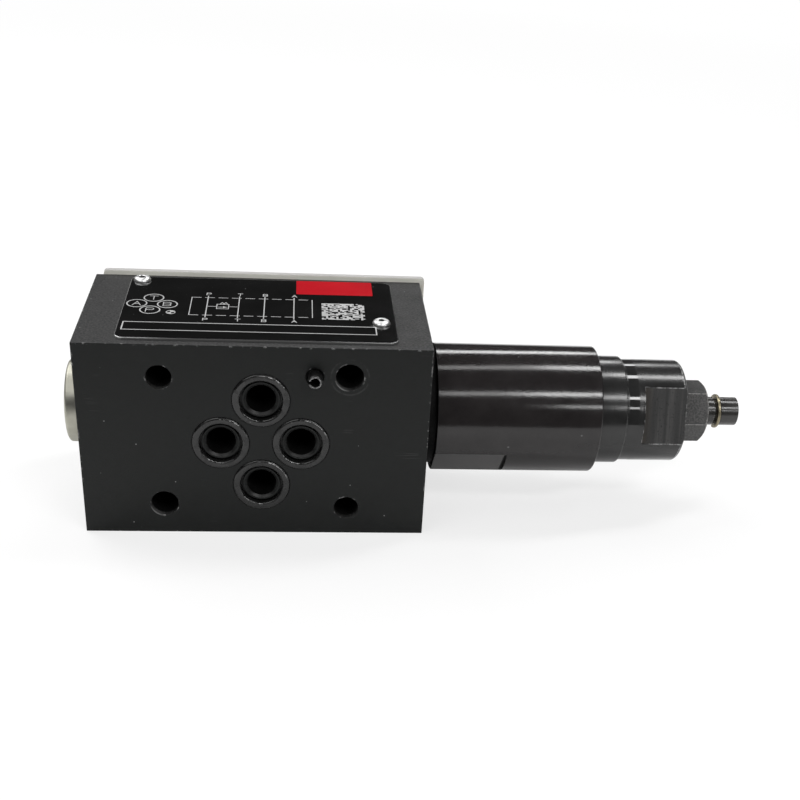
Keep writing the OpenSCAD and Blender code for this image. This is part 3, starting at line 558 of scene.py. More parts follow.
def makeCapOxide():
    # satin collar, a polished band, and a cap whose two flats keep the cutter's marks
    look = {
        "dark": gray(0.015),
        "light": gray(0.021),
        "flat": gray(0.027),
        "flatMark": gray(0.085, 0.02),
        "brown": (0.038, 0.032, 0.026, 1),
        "bright": gray(0.34),
        "speck": gray(0.16),
        "bandStart": 85.35 * mm,
        "bandEnd": 87.75 * mm,
        "flatStart": 89.25 * mm,
        "brownEnd": 91.4 * mm,
        "rimFade": (89.85 * mm, 92.45 * mm),
        "flatRadius": 11.93 * mm,
        "edgeRadius": 12.04 * mm,
        "pits": (0.6, 0.68),
        "rubs": (0.4, 0.6),
        "rough": (0.18, 0.23),
        "bandRough": 0.06,
        "flatRough": 0.38,
        "markRise": 1.6,
        "grainRise": 0.5,
        "bandRise": (1.0, 0.05),
        "cutterRise": 4.0,
        "bump": (1.0, 0.01 * mm),
    }
    material, tree, inputs = startMaterial("capOxide", specular=0.46)
    along, radius = axisPlace(tree)
    band = times(tree, calc(tree, "GREATER_THAN", along, look["bandStart"]),
                 calc(tree, "LESS_THAN", along, look["bandEnd"]))
    milledPart = calc(tree, "GREATER_THAN", along, look["flatStart"])
    flat = times(tree, milledPart, calc(tree, "LESS_THAN", radius, look["flatRadius"]))
    rim = times(tree, milledPart, calc(tree, "LESS_THAN", radius, look["edgeRadius"]))
    rim = times(tree, minus(tree, rim, flat), remap(tree, along, *look["rimFade"]))
    grain = placeGroup(tree, surfaceGrain, {"Scale": 4200.0})
    marks = placeGroup(tree, turningMarks, {"Lines": 2600.0, "Break": 0.3})
    cutter = placeGroup(tree, cutterMarks, {"Lines": 1500.0})
    pits = placeGroup(tree, surfaceGrain, {"Scale": 2600.0})
    wear = placeGroup(tree, edgeWear, {"Radius": 0.25 * mm, "Breakup": 900.0, "Amount": 0.55})
    specks = placeGroup(tree, dustSpecks, {"Scale": 420.0, "Density": 0.03, "Size": 0.12})
    colour = blendColour(tree, grain["Patches"], look["dark"], look["light"])
    milled = blendColour(tree, cutter["Mask"], look["flat"], look["flatMark"])
    milled = blendColour(tree, remap(tree, along, look["brownEnd"], look["flatStart"]), milled, look["brown"])
    milled = blendColour(tree, remap(tree, pits["Height"], *look["pits"]), milled, look["dark"])
    colour = blendColour(tree, flat, colour, milled)
    colour = blendColour(tree, specks["Mask"], colour, look["speck"])
    colour = blendColour(tree, wear["Mask"], colour, look["bright"])
    rubbed = times(tree, rim, remap(tree, pits["Height"], *look["rubs"]))
    rough = blendValue(tree, band, between(tree, grain["Patches"], *look["rough"]), look["bandRough"])
    turned = plus(tree, times(tree, marks["Height"], look["markRise"]),
                  times(tree, grain["Height"], look["grainRise"]))
    height = times(tree, turned, between(tree, band, *look["bandRise"]))
    height = blendValue(tree, flat, height, times(tree, cutter["Height"], look["cutterRise"]))
    plugIn(tree, inputs["Base Color"], blendColour(tree, rubbed, colour, look["bright"]))
    plugIn(tree, inputs["Roughness"], blendValue(tree, flat, rough, look["flatRough"]))
    plugIn(tree, inputs["Normal"], bumpUp(tree, height, *look["bump"]))
    return material


def makePinSteel():
    # black all along, rubbed bright on its end
    look = {"side": gray(0.006), "end": gray(0.11), "worn": gray(0.8), "endTurn": (-0.8, -0.95),
            "endMetal": 0.6, "bump": (0.4, 0.05 * mm)}
    material, tree, inputs = startMaterial("pinSteel", rough=0.35)
    grain = placeGroup(tree, surfaceGrain, {"Scale": 5200.0})
    end = remap(tree, normalParts(tree)["Y"], *look["endTurn"])
    wear = placeGroup(tree, edgeWear, {"Radius": 0.15 * mm, "Breakup": 1600.0, "Amount": 0.75})
    tone = blendColour(tree, end, look["side"], look["end"])
    tone = blendColour(tree, times(tree, wear["Mask"], end), tone, look["worn"])
    plugIn(tree, inputs["Base Color"], tone)
    plugIn(tree, inputs["Metallic"], times(tree, end, look["endMetal"]))
    plugIn(tree, inputs["Normal"], bumpUp(tree, grain["Height"], *look["bump"]))
    return material


def makeBrightMetal(name, colour, stain, rough, lines, relief, wornEdge=0.0):
    look = {"worn": gray(0.75), "smooth": 0.85, "dull": 1.25, "bumpDepth": 0.02 * mm}
    material, tree, inputs = startMaterial(name, metal=1.0)
    grain = placeGroup(tree, surfaceGrain, {"Scale": 3000.0})
    marks = placeGroup(tree, turningMarks, {"Lines": lines, "Break": 0.2})
    tone = blendColour(tree, grain["Patches"], colour, stain)
    if wornEdge:
        wear = placeGroup(tree, edgeWear, {"Radius": 0.2 * mm, "Breakup": 1400.0, "Amount": wornEdge})
        tone = blendColour(tree, wear["Mask"], tone, look["worn"])
    plugIn(tree, inputs["Base Color"], tone)
    rough = between(tree, grain["Patches"], rough * look["smooth"], rough * look["dull"])
    plugIn(tree, inputs["Roughness"], rough)
    plugIn(tree, inputs["Normal"], bumpUp(tree, marks["Height"], relief, look["bumpDepth"]))
    return material


def makeRivetMetal():
    # bright dome, with painted shade down in its dimple
    look = {"bright": gray(0.78), "dull": gray(0.66), "mark": gray(0.05), "dimpleShadeReach": 1.02,
            "rough": (0.36, 0.46), "bump": (0.3, 0.04 * mm)}
    material, tree, inputs = startMaterial("rivetMetal", metal=1.0)
    grain = placeGroup(tree, surfaceGrain, {"Scale": 2600.0})
    off = nearestOff(tree, (1.0, 1.0, 0.0), [(x, y, 0.0) for x, y in rivetPlaces])
    # painted shade fills the dimple
    mark = calc(tree, "LESS_THAN", off, rivet["dimple"] * look["dimpleShadeReach"])
    tone = blendColour(tree, grain["Patches"], look["bright"], look["dull"])
    plugIn(tree, inputs["Base Color"], blendColour(tree, mark, tone, look["mark"]))
    plugIn(tree, inputs["Roughness"], between(tree, grain["Patches"], *look["rough"]))
    plugIn(tree, inputs["Normal"], bumpUp(tree, grain["Height"], *look["bump"]))
    return material


def makePlateGloss():
    # gloss black on the face, bare aluminium where the plate was cut, with a painted highlight that makes the
    # edges facing left lighter and wider
    look = {
        "dark": gray(0.0016),
        "light": gray(0.0034),
        "speck": gray(0.1),
        "cut": gray(0.24),
        "cutLeftHighlight": gray(0.5),
        "edgeTurn": (0.93, 0.8),
        "leftHighlightTurn": (-0.1, -0.25),
        "leftHighlightTone": (-0.05, -0.2),
        "cutMetal": 0.7,
        "rough": (0.07, 0.12),
        "bump": (0.08, 0.04 * mm),
    }
    material, tree, inputs = startMaterial("plateGloss", specular=0.45)
    grain = placeGroup(tree, surfaceGrain, {"Scale": 2400.0})
    wear = placeGroup(tree, edgeWear, {"Radius": 0.35 * mm, "Breakup": 800.0, "Amount": 0.8})
    facing = normalParts(tree)
    # edges that face left widen the bare band as a painted highlight
    cutEdge = calc(tree, "MAXIMUM", remap(tree, facing["Z"], *look["edgeTurn"]),
                   remap(tree, facing["X"], *look["leftHighlightTurn"]))
    bare = calc(tree, "MAXIMUM", cutEdge, wear["Mask"])
    face = blendColour(tree, grain["Patches"], look["dark"], look["light"])
    specks = placeGroup(tree, dustSpecks, {"Scale": 640.0, "Density": 0.03, "Size": 0.12})
    face = blendColour(tree, specks["Mask"], face, look["speck"])
    # painted highlight: cut edges that face left are lighter
    metal = blendColour(tree, remap(tree, facing["X"], *look["leftHighlightTone"]), look["cut"], look["cutLeftHighlight"])
    plugIn(tree, inputs["Base Color"], blendColour(tree, bare, face, metal))
    plugIn(tree, inputs["Metallic"], times(tree, bare, look["cutMetal"]))
    plugIn(tree, inputs["Roughness"], between(tree, grain["Patches"], *look["rough"]))
    plugIn(tree, inputs["Normal"], bumpUp(tree, grain["Height"], *look["bump"]))
    return material


def makeInk(name, colour, worn):
    rough = (0.3, 0.7, 0.16, 0.24)
    material, tree, inputs = startMaterial(name, specular=0.25)
    grain = placeGroup(tree, surfaceGrain, {"Scale": 2800.0})
    plugIn(tree, inputs["Base Color"], blendColour(tree, grain["Patches"], colour, worn))
    plugIn(tree, inputs["Roughness"], remap(tree, grain["Height"], *rough))
    return material


def makeCoverPlastic():
    look = {
        "pale": (0.83, 0.82, 0.75, 1),
        "stain": (0.76, 0.75, 0.68, 1),
        # painted shade colour for faces turned up
        "top": gray(0.4, 0.02),
        "worn": gray(0.5, 0.03),
        "depth": 0.15,
        "depthReach": (2.0 * mm, 2.0 * mm, 1.8 * mm),
        "coverTopShadeTurn": (0.2, 0.7),
        "rough": (0.3, 0.7, 0.42, 0.58),
        "bump": (0.2, 0.05 * mm),
    }
    material, tree, inputs = startMaterial("coverPlastic", specular=0.3)
    inputs["Subsurface Weight"].default_value = look["depth"]
    inputs["Subsurface Radius"].default_value = look["depthReach"]
    grain = placeGroup(tree, surfaceGrain, {"Scale": 1800.0})
    wear = placeGroup(tree, edgeWear, {"Radius": 0.4 * mm, "Breakup": 600.0, "Amount": 0.3})
    tone = blendColour(tree, grain["Patches"], look["pale"], look["stain"])
    # painted shade: faces turned up turn darker
    tone = blendColour(tree, remap(tree, normalParts(tree)["Z"], *look["coverTopShadeTurn"]), tone, look["top"])
    plugIn(tree, inputs["Base Color"], blendColour(tree, wear["Mask"], tone, look["worn"]))
    plugIn(tree, inputs["Roughness"], remap(tree, grain["Height"], *look["rough"]))
    plugIn(tree, inputs["Normal"], bumpUp(tree, grain["Height"], *look["bump"]))
    return material


def makeSoftSeal(name, dark, light, rough, wet, paintedGlints=()):
    # wet is the roughness under patches of oil, glints are painted highlight arcs at a ring's edge
    look = {"speck": gray(0.1), "paintedGlint": gray(0.9), "oil": (0.25, 0.6), "bump": (0.1, 0.03 * mm)}
    material, tree, inputs = startMaterial(name, specular=0.5)
    grain = placeGroup(tree, surfaceGrain, {"Scale": 5200.0})
    oil = placeGroup(tree, surfaceGrain, {"Scale": 9000.0})
    specks = placeGroup(tree, dustSpecks, {"Scale": 900.0, "Density": 0.04, "Size": 0.14})
    tone = blendColour(tree, grain["Patches"], dark, light)
    tone = blendColour(tree, specks["Mask"], tone, look["speck"])
    for centre, reach, side, gaps in paintedGlints:
        arc = placeGroup(tree, rubAndPaintedLightArc, {"Centre": tuple(centre), "Reach": reach, "Width": 0.1 * mm,
                                           "Gaps": gaps, "Side": side, "Spread": -0.72, "Grain": 1500.0})
        tone = blendColour(tree, arc["Mask"], tone, look["paintedGlint"])
    plugIn(tree, inputs["Base Color"], tone)
    plugIn(tree, inputs["Roughness"], remap(tree, oil["Patches"], *look["oil"], rough, wet))
    plugIn(tree, inputs["Normal"], bumpUp(tree, grain["Height"], *look["bump"]))
    return material


coatBlack = makeBlockCoat()
barrelOxide = makeBarrelOxide()
capOxide = makeCapOxide()
nutOxide = makeNutOxide()
screwOxide = makeScrewOxide()
plugZinc = makeBrightMetal("plugZinc", (0.47, 0.465, 0.41, 1), (0.39, 0.38, 0.32, 1), rough=0.4, lines=2400.0,
                           relief=0.3)
pinSteel = makePinSteel()
rivetMetal = makeRivetMetal()
groundSteel = makeBrightMetal("groundSteel", gray(0.5, -0.01), gray(0.42), rough=0.25, lines=4200.0,
                              relief=0.2)
springSteel = makeBrightMetal("springSteel", gray(0.34, -0.02), gray(0.26), rough=0.34, lines=2200.0,
                              relief=0.15)
ringGold = makeBrightMetal("ringGold", (0.27, 0.24, 0.165, 1), (0.2, 0.17, 0.115, 1), rough=0.4, lines=2600.0,
                           relief=0.15, wornEdge=0.6)
plateGloss = makePlateGloss()
inkWhite = makeInk("inkWhite", gray(0.5), gray(0.4))
inkRed = makeInk("inkRed", (0.44, 0.003, 0.01, 1), (0.39, 0.002, 0.008, 1))
coverPlastic = makeCoverPlastic()
rubber = {"dark": gray(0.0065), "light": gray(0.0105), "rough": 0.4, "wet": 0.08}
sealRubber = makeSoftSeal("sealRubber", **rubber)
# reach, side and gaps of the painted highlight arcs at a port seal's outer and inner edge
glintEdges = ((5.95 * mm, (0.55, 0.0, 0.83), 0.46), (4.85 * mm, (-0.45, 0.0, -0.89), 0.52))
paintedGlints = [(place, *edge) for place in portPlaces for edge in glintEdges]
portRubber = makeSoftSeal("portRubber", **rubber, paintedGlints=paintedGlints)
backupPlastic = makeSoftSeal("backupPlastic", gray(0.72, 0.03), gray(0.62, 0.04), rough=0.5, wet=0.4)
print("materials made:", len(bpy.data.materials))


# mesh helpers
def aroundAxis(x, r, angle):  # angle 0 faces the front, a quarter turn faces up
    return (x, axisY - r * math.cos(angle), r * math.sin(angle))


def ringAngles(count, extra=()):
    angles = [a % (2 * math.pi) for a in extra]
    near = math.pi / count * 0.5
    for k in range(count):
        a = 2 * math.pi * k / count
        if all(abs((a - b + math.pi) % (2 * math.pi) - math.pi) > near for b in angles):
            angles.append(a)
    return sorted(angles)


def softCorners(points, maxTurn=math.radians(11)):
    # points are (x, r) or (x, r, softness), and each soft corner becomes an arc
    line = []
    for i, point in enumerate(points):
        here = Vector(point[:2])
        if len(point) < 3:
            line.append(tuple(here))
            continue
        before = (Vector(points[i - 1][:2]) - here).normalized()
        after = (Vector(points[(i + 1) % len(points)][:2]) - here).normalized()
        half = before.angle(after) / 2
        centre = here + (before + after).normalized() * point[2] / math.sin(half)
        start = here + before * point[2] / math.tan(half) - centre
        end = here + after * point[2] / math.tan(half) - centre
        turn = (math.pi - 2 * half) * (1 if start.cross(end) > 0 else -1)
        steps = max(2, math.ceil(abs(turn) / maxTurn))
        for k in range(steps + 1):
            line.append(tuple(centre + Matrix.Rotation(turn * k / steps, 2) @ start))
    return line


def skin(bm, rows, along=False):
    # joins rings of points, with along from the last ring back to the first too
    for i in range(len(rows) if along else len(rows) - 1):
        low, high = rows[i], rows[(i + 1) % len(rows)]
        count = max(len(low), len(high))
        for j in range(count):
            k = (j + 1) % count
            if len(low) == 1:
                bm.faces.new((low[0], high[k], high[j]))
            elif len(high) == 1:
                bm.faces.new((low[j], low[k], high[0]))
            else:
                bm.faces.new((low[j], low[k], high[k], high[j]))


def tube(bm, rows):
    skin(bm, rows)
    bm.faces.new(rows[0])
    bm.faces.new(rows[-1])


def turnedRows(bm, profile, angles, cut=None):
    # profile holds (x, r) in millimetres, where either may be a function of the angle
    rows = []
    for x, r in profile:
        if r == 0:
            rows.append([bm.verts.new(aroundAxis(x * mm, 0, 0))])
            continue
        row = []
        for a in angles:
            place = x(a) if callable(x) else x
            reach = r(a) if callable(r) else r
            if cut:
                reach = min(reach, cut(place, a))
            row.append(bm.verts.new(aroundAxis(place * mm, reach * mm, a)))
        rows.append(row)
    return rows


def makePiece(name, bm, material, body, stands=(), sharp=14, evenFaces=False):
    # stands are the solids that the piece replaces, and edges that turn more than sharp degrees stay crisp
    bmesh.ops.recalc_face_normals(bm, faces=bm.faces)
    mesh = bpy.data.meshes.new(name)
    bm.to_mesh(mesh)
    bm.free()
    mesh.shade_smooth()
    mesh.set_sharp_from_angle(angle=math.radians(sharp))
    mesh.materials.append(material)
    piece = bpy.data.objects.new(name, mesh)
    scene.collection.objects.link(piece)
    if evenFaces:  # keeps big flat faces flat beside their soft edges
        piece.modifiers.new("evenFaces", "WEIGHTED_NORMAL").keep_sharp = True
    if isinstance(body, tuple):  # a spring part, baked in place and attached to no body
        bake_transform(piece)
    else:
        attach(piece, body)
    if stands:
        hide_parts(*stands)


def dressNode(name, material):
    slots = frame["nodes"][name].data.materials
    slots.clear()
    slots.append(material)


def loopEdges(bm, loop):
    pairs = zip(loop, loop[1:] + loop[:1])
    return [bm.edges.get(pair) or bm.edges.new(pair) for pair in pairs]


def fillLoops(bm, loops):
    edges = [edge for loop in loops for edge in loopEdges(bm, loop)]
    bmesh.ops.triangle_fill(bm, edges=edges, use_beauty=True)


def drillRows(bm, mouth, inward, chain, count):
    # chain holds (depth, radius) from the mouth inwards
    side = inward.orthogonal().normalized()
    other = inward.cross(side)
    spokes = []
    for k in range(count):
        turn = 2 * math.pi * k / count
        spokes.append(side * math.cos(turn) + other * math.sin(turn))
    rows = []
    for depth, r in chain:
        centre = mouth + inward * depth
        rows.append([bm.verts.new(centre + spoke * r) for spoke in (spokes if r else spokes[:1])])
    skin(bm, rows)
    return rows


def roundRect(x0, y0, x1, y1, r, steps=7):
    corners = ((x1 - r, y1 - r), (x0 + r, y1 - r), (x0 + r, y0 + r), (x1 - r, y0 + r))
    loop = []
    for quarter, (cx, cy) in enumerate(corners):
        for k in range(steps + 1):
            a = math.pi / 2 * (quarter + k / steps)
            loop.append((cx + r * math.cos(a), cy + r * math.sin(a)))
    return loop


# valve block: milled, drilled and bored
def faceLoop(bm, direction):
    # takes out the flat face that looks in that direction and gives its outline
    squareOn = 0.999
    face = max((f for f in bm.faces if f.normal.dot(direction) > squareOn), key=lambda f: f.calc_area())
    loop = list(face.verts)
    bmesh.ops.delete(bm, geom=[face], context="FACES_ONLY")
    return loop


def makeBlock():
    bm = bmesh.new()
    bmesh.ops.create_cube(bm, size=1)
    size, middle = blockHigh - blockLow, (blockHigh + blockLow) / 2
    for vert in bm.verts:
        vert.co = middle + Vector(a * b for a, b in zip(vert.co, size))
    bmesh.ops.bevel(bm, geom=bm.edges[:], offset=block["edge"], segments=block["edgeSteps"], profile=0.5,
                    affect="EDGES")
    bm.normal_update()
    deep = size.y
    front, back = [faceLoop(bm, Vector((0, -1, 0)))], [faceLoop(bm, Vector((0, 1, 0)))]
    inward = Vector((0, 1, 0))
    rim, boltRim = block["rim"], block["boltRim"]
    recess, floor = block["recessRadius"], block["recessDepth"]
    lip, lipTop, lipSoft = block["lipRadius"], block["lipDepth"], block["lipSoft"]
    for place in portPlaces:
        chain = ((0, recess + rim), (rim, recess), (floor - rim, recess), (floor, recess - rim), (floor, lip),
                 (lipTop + rim, lip), (lipTop, lip - rim), (lipTop, portRadius + lipSoft),
                 (lipTop + lipSoft, portRadius), (deep - rim, portRadius), (deep, portRadius + rim))
        rows = drillRows(bm, Vector((place.x, blockLow.y, place.z)), inward, chain, block["portSteps"])
        front.append(rows[0])
        back.append(rows[-1])
    for number, place in enumerate(boltPlaces):
        chain = [(0, boltRadius + boltRim), (boltRim, boltRadius), (deep - boltRim, boltRadius),
                 (deep, boltRadius + boltRim)]
        if number in block["wideHoles"]:
            wide = block["wideMouth"]
            chain[:2] = [(0, wide + boltRim), (boltRim, wide), (block["wideDepth"], boltRadius)]
        rows = drillRows(bm, Vector((place.x, blockLow.y, place.z)), inward, chain, block["boltSteps"])
        front.append(rows[0])
        back.append(rows[-1])
    pin = Vector(mounts["locating_pin"]["pos_m"])
    sink, hole = block["pinSink"], block["pinHole"]
    chain = ((0, sink), (sink - hole, hole), (block["pinDepth"], hole), (block["pinDepth"] + hole / 2, 0))
    front.append(drillRows(bm, Vector((pin.x, blockLow.y, pin.z)), inward, chain, block["pinSteps"])[0])
    fillLoops(bm, front)
    fillLoops(bm, back)
    for side, key in ((1, "cartridgeBore"), (-1, "plugBore")):
        outline = faceLoop(bm, Vector((side, 0, 0)))
        mouth = Vector((blockHigh.x if side > 0 else blockLow.x, axisY, 0))
        chain = [(depth * mm, r * mm) for depth, r in block[key]]
        bore = drillRows(bm, mouth, Vector((-side, 0, 0)), chain, block["portSteps"])
        fillLoops(bm, [outline, bore[0]])
    top = [faceLoop(bm, Vector((0, 0, 1)))]
    for x, y in rivetPlaces:
        chain = ((0, block["rivetHole"]), (block["rivetDepth"], block["rivetHole"]), (block["rivetDepth"], 0))
        mouth = Vector((x, y, blockHigh.z))
        top.append(drillRows(bm, mouth, Vector((0, 0, -1)), chain, block["rivetSteps"])[0])
    fillLoops(bm, top)
    makePiece("valveBlock", bm, coatBlack, "valve", ["valve_body"], sharp=35, evenFaces=True)


makeBlock()
print("block made")


# name plate with its rivets
plate = {"corner": 2.0 * mm, "edge": 0.24 * mm, "hole": 1.15 * mm}
leastCorner = 0.3 * mm
plateLow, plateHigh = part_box("name_plate")


def slabRows(bm, low, high, corner, levels, place):
    # levels are (height, inset), and place turns (u, v, height) into a point
    rows = []
    for height, inset in levels:
        loop = roundRect(low[0] + inset, low[1] + inset, high[0] - inset, high[1] - inset,
                         max(corner - inset, leastCorner))
        rows.append([bm.verts.new(place(u, v, height)) for u, v in loop])
    skin(bm, rows)
    return rows


def softEdge(base, top, edge, steps=4):
    levels = [(base, 0.0)]
    for k in range(steps + 1):
        a = math.pi / 2 * k / steps
        levels.append((top - edge + edge * math.sin(a), edge - edge * math.cos(a)))
    return levels


def makePlate():
    bm = bmesh.new()
    levels = softEdge(plateLow.z, plateHigh.z, plate["edge"])
    rows = slabRows(bm, plateLow, plateHigh, plate["corner"], levels, lambda u, v, h: (u, v, h))
    under, over = [rows[0]], [rows[-1]]
    for x, y in rivetPlaces:
        chain = ((0, plate["hole"]), (plateHigh.z - plateLow.z, plate["hole"]))
        mouth = Vector((x, y, plateHigh.z))
        hole = drillRows(bm, mouth, Vector((0, 0, -1)), chain, block["rivetSteps"])
        over.append(hole[0])
        under.append(hole[-1])
    fillLoops(bm, under)
    fillLoops(bm, over)
    makePiece("namePlate", bm, plateGloss, "valve", ["name_plate"], sharp=35, evenFaces=True)


def makeRivets():
    bm = bmesh.new()
    seat, top = plateHigh.z, rivetHigh.z
    r, rise, land, dimple = rivet["radius"], top - seat, rivet["land"], rivet["dimple"]
    bottom = seat - blockHigh.z + rivet["shankLength"]
    chain = [(bottom, 0), (bottom, rivet["shank"]), (0, rivet["shank"]), (0, r - rivet["underCut"]),
             (-rivet["underRise"], r)]
    for k in range(1, rivet["steps"] + 1):
        a = math.pi / 2 * k / rivet["steps"]
        chain.append((-rise * math.sin(a), land + (r - land) * math.cos(a)))
    floor = rivet["dimpleDepth"] - rise
    chain += [(-rise, dimple + rivet["dimpleRim"]), (rivet["dimpleEdge"] - rise, dimple),
              (floor, dimple * rivet["dimpleFloor"]), (floor, 0)]
    for x, y in rivetPlaces:
        drillRows(bm, Vector((x, y, seat)), Vector((0, 0, -1)), chain, rivet["around"])
    makePiece("plateRivets", bm, rivetMetal, "valve", ["plate_rivets"], sharp=40)


makePlate()
makeRivets()
print("plate and rivets made")


# print on the plate: port letters, a relief valve diagram, a frame, a red field and a block of plain squares
ink = {
    "thick": 0.015 * mm,
    "layer": 0.002 * mm,
    "layers": 7,
    # from here on in millimetres on the plate
    "line": 0.27,
    "thin": 0.19,
    "portLine": 0.22,
    "frame": (-28.3, 6.5, 26.0, 10.7),
    "portCircles": {"T": (-23.2, 24.7), "A": (-26.6, 21.2), "B": (-19.9, 21.1), "P": (-23.4, 17.6)},
    "circleRadius": 2.15,
    "letterHeight": 2.1,
    # shares of a letter's height, then of its half width and half height
    "letterHalf": 0.42,
    "crossbarHalf": 0.4,
    "crossbarDrop": 0.25,
    "bowlStart": 0.3,
    "pinMark": (-18.8, 16.5),
    "pinRadius": 0.95,
    "quarterStarts": (20, 200),  # degrees
    "quarterRadius": 0.45,
    "quarterWidth": 0.8,
    "diagram": (-14.8, 15.3, 12.2, 25.6),
    "dashes": 9,
    "dashShare": 0.66,
    "diagramLines": {"P": -11.2, "T": -4.2, "B": 1.5, "A": 8.1},
    "linesBelow": 1.2,
    "linesAbove": 1.0,
    "lettersBelow": 2.4,
    "lettersAbove": 2.2,
    "letterAside": 0.1,
    "smallLetter": 1.2,
    "valveHalf": 1.3,
    "arrowLow": 0.35,
    "arrowHalf": 0.5,
    "arrowShare": 0.7,
    "arrowStart": 0.1,
    "springStrokes": 4,
    "springStep": 0.4,
    "springStart": -0.6,
    "springLow": 0.2,
    "springHigh": 1.1,
    "red": (8.6, 29.1, 26.2, 37.6),
    "redCorner": 0.3,
    "squares": (14.3, 14.5, 23.9, 23.9),
    "squareCount": 21,
    "squareShare": 0.56,
    "squareHeight": 0.92,
    "squareSeed": 7,
}


def inkTop(bm):
    # strokes that cross lie at different heights, so that no two faces fall together
    return plateHigh.z + ink["thick"] + len(bm.verts) % ink["layers"] * ink["layer"]


def inkPrism(bm, points):
    # a thin closed layer of ink over an outline of (x, y) in millimetres
    base, top = plateHigh.z, inkTop(bm)
    tube(bm, [[bm.verts.new((x * mm, y * mm, z)) for x, y in points] for z in (base, top)])


def inkBar(bm, start, end, width):
    a, b = Vector(start), Vector(end)
    along = (b - a).normalized() * width / 2
    side = Vector((-along.y, along.x))
    inkPrism(bm, [a - along - side, b + along - side, b + along + side, a - along + side])


def inkArc(bm, centre, radius, width, start, end):
    # start and end are in degrees, and a step is about nine
    steps, whole = max(6, int(abs(end - start) / 9)), abs(end - start) >= 360
    base, top = plateHigh.z, inkTop(bm)
    inner, outer = radius - width / 2, radius + width / 2
    rows = []
    for k in range(steps if whole else steps + 1):
        t = math.radians(start + (end - start) * k / steps)
        rows.append([bm.verts.new(((centre[0] + r * math.cos(t)) * mm, (centre[1] + r * math.sin(t)) * mm, z))
                     for r, z in ((inner, base), (outer, base), (outer, top), (inner, top))])
    if whole:
        skin(bm, rows, along=True)
    else:
        tube(bm, rows)


def inkLetter(bm, letter, centre, height, width):
    x, y = centre
    w, h = height * ink["letterHalf"], height / 2
    left, right, low, high = x - w, x + w, y - h, y + h
    if letter == "T":
        inkBar(bm, (left, high), (right, high), width)
        inkBar(bm, (x, low), (x, high - width), width)
    if letter == "A":
        inkBar(bm, (left, low), (x, high), width)
        inkBar(bm, (right, low), (x, high), width)
        half, level = w * ink["crossbarHalf"], y - h * ink["crossbarDrop"]
        inkBar(bm, (x - half, level), (x + half, level), width)
    if letter in "PB":
        inkBar(bm, (left, low), (left, high), width)
        bend = x + w * ink["bowlStart"]
        for k in range(1 if letter == "P" else 2):
            bowl = y + h / 2 - k * h
            for level in (bowl + h / 2, bowl - h / 2):
                inkBar(bm, (left + width, level), (bend, level), width)
            inkArc(bm, (bend, bowl), h / 2, width, -90, 90)


def inkBox(bm, box, width):
    x0, y0, x1, y1 = box
    corners = ((x0, y0), (x1, y0), (x1, y1), (x0, y1))
    for start, end in zip(corners, corners[1:] + corners[:1]):
        inkBar(bm, start, end, width)


def inkReliefValve(bm, centre, midY, left, right, width):
    # a box with an arrow and a spring, between the pressure and return lines
    half = ink["valveHalf"]
    low, tip = midY - ink["arrowLow"], centre + half * ink["arrowShare"]
    inkBox(bm, (centre - half, midY - half, centre + half, midY + half), width)
    inkBar(bm, (left, midY), (centre - half, midY), width)
    inkBar(bm, (centre + half, midY), (right, midY), width)
    inkBar(bm, (centre - half * ink["arrowShare"], low), (tip, low), width)
    foot = centre + ink["arrowStart"]
    inkPrism(bm, [(tip, low), (foot, low + ink["arrowHalf"]), (foot, low - ink["arrowHalf"])])
    ends = (midY + half + ink["springLow"], midY + half + ink["springHigh"])
    for k in range(ink["springStrokes"]):
        start = centre + ink["springStart"] + ink["springStep"] * k
        inkBar(bm, (start, ends[k % 2]), (start + ink["springStep"], ends[1 - k % 2]), width)


def makePrint():
    bm = bmesh.new()
    line, thin = ink["line"], ink["thin"]
    inkBox(bm, ink["frame"], line)
    for letter, centre in ink["portCircles"].items():
        inkArc(bm, centre, ink["circleRadius"], line, 0, 360)
        inkLetter(bm, letter, centre, ink["letterHeight"], thin)
    inkArc(bm, ink["pinMark"], ink["pinRadius"], thin, 0, 360)
    for start in ink["quarterStarts"]:
        inkArc(bm, ink["pinMark"], ink["quarterRadius"], ink["quarterWidth"], start, start + 90)
    x0, y0, x1, y1 = ink["diagram"]
    for x in (x0, x1):
        inkBar(bm, (x, y0), (x, y1), thin)
    for y in (y0, y1):  # dashed long sides
        for k in range(ink["dashes"]):
            start = x0 + (x1 - x0) * k / ink["dashes"]
            inkBar(bm, (start, y), (start + (x1 - x0) / ink["dashes"] * ink["dashShare"], y), thin)
    for letter, x in ink["diagramLines"].items():
        inkBar(bm, (x, y0 - ink["linesBelow"]), (x, y1 + ink["linesAbove"]), ink["portLine"])
        for y in (y0 - ink["lettersBelow"], y1 + ink["lettersAbove"]):
            inkLetter(bm, letter, (x + ink["letterAside"], y), ink["smallLetter"], thin)
    left, right = ink["diagramLines"]["P"], ink["diagramLines"]["T"]
    inkReliefValve(bm, (left + right) / 2, (y0 + y1) / 2, left, right, thin)
    makePiece("platePrint", bm, inkWhite, "valve", sharp=35)


def makeSquares():
    # a field of random squares, drawn in runs
    bm = bmesh.new()
    chance = random.Random(ink["squareSeed"])
    x0, y0, x1, y1 = ink["squares"]
    count = ink["squareCount"]
    step = (x1 - x0) / count
    for row in range(count):
        run = 0
        for column in range(count + 1):
            if column < count and chance.random() < ink["squareShare"]:
                run += 1
                continue
            if run:
                left, low = x0 + (column - run) * step, y0 + row * (y1 - y0) / count
                right, high = left + run * step, low + step * ink["squareHeight"]
                inkPrism(bm, [(left, low), (right, low), (right, high), (left, high)])
            run = 0
    makePiece("plateSquares", bm, inkWhite, "valve", sharp=35)


def makeRedField():
    bm = bmesh.new()
    inkPrism(bm, roundRect(*ink["red"], ink["redCorner"], 4))
    makePiece("plateRedField", bm, inkRed, "valve", sharp=35)


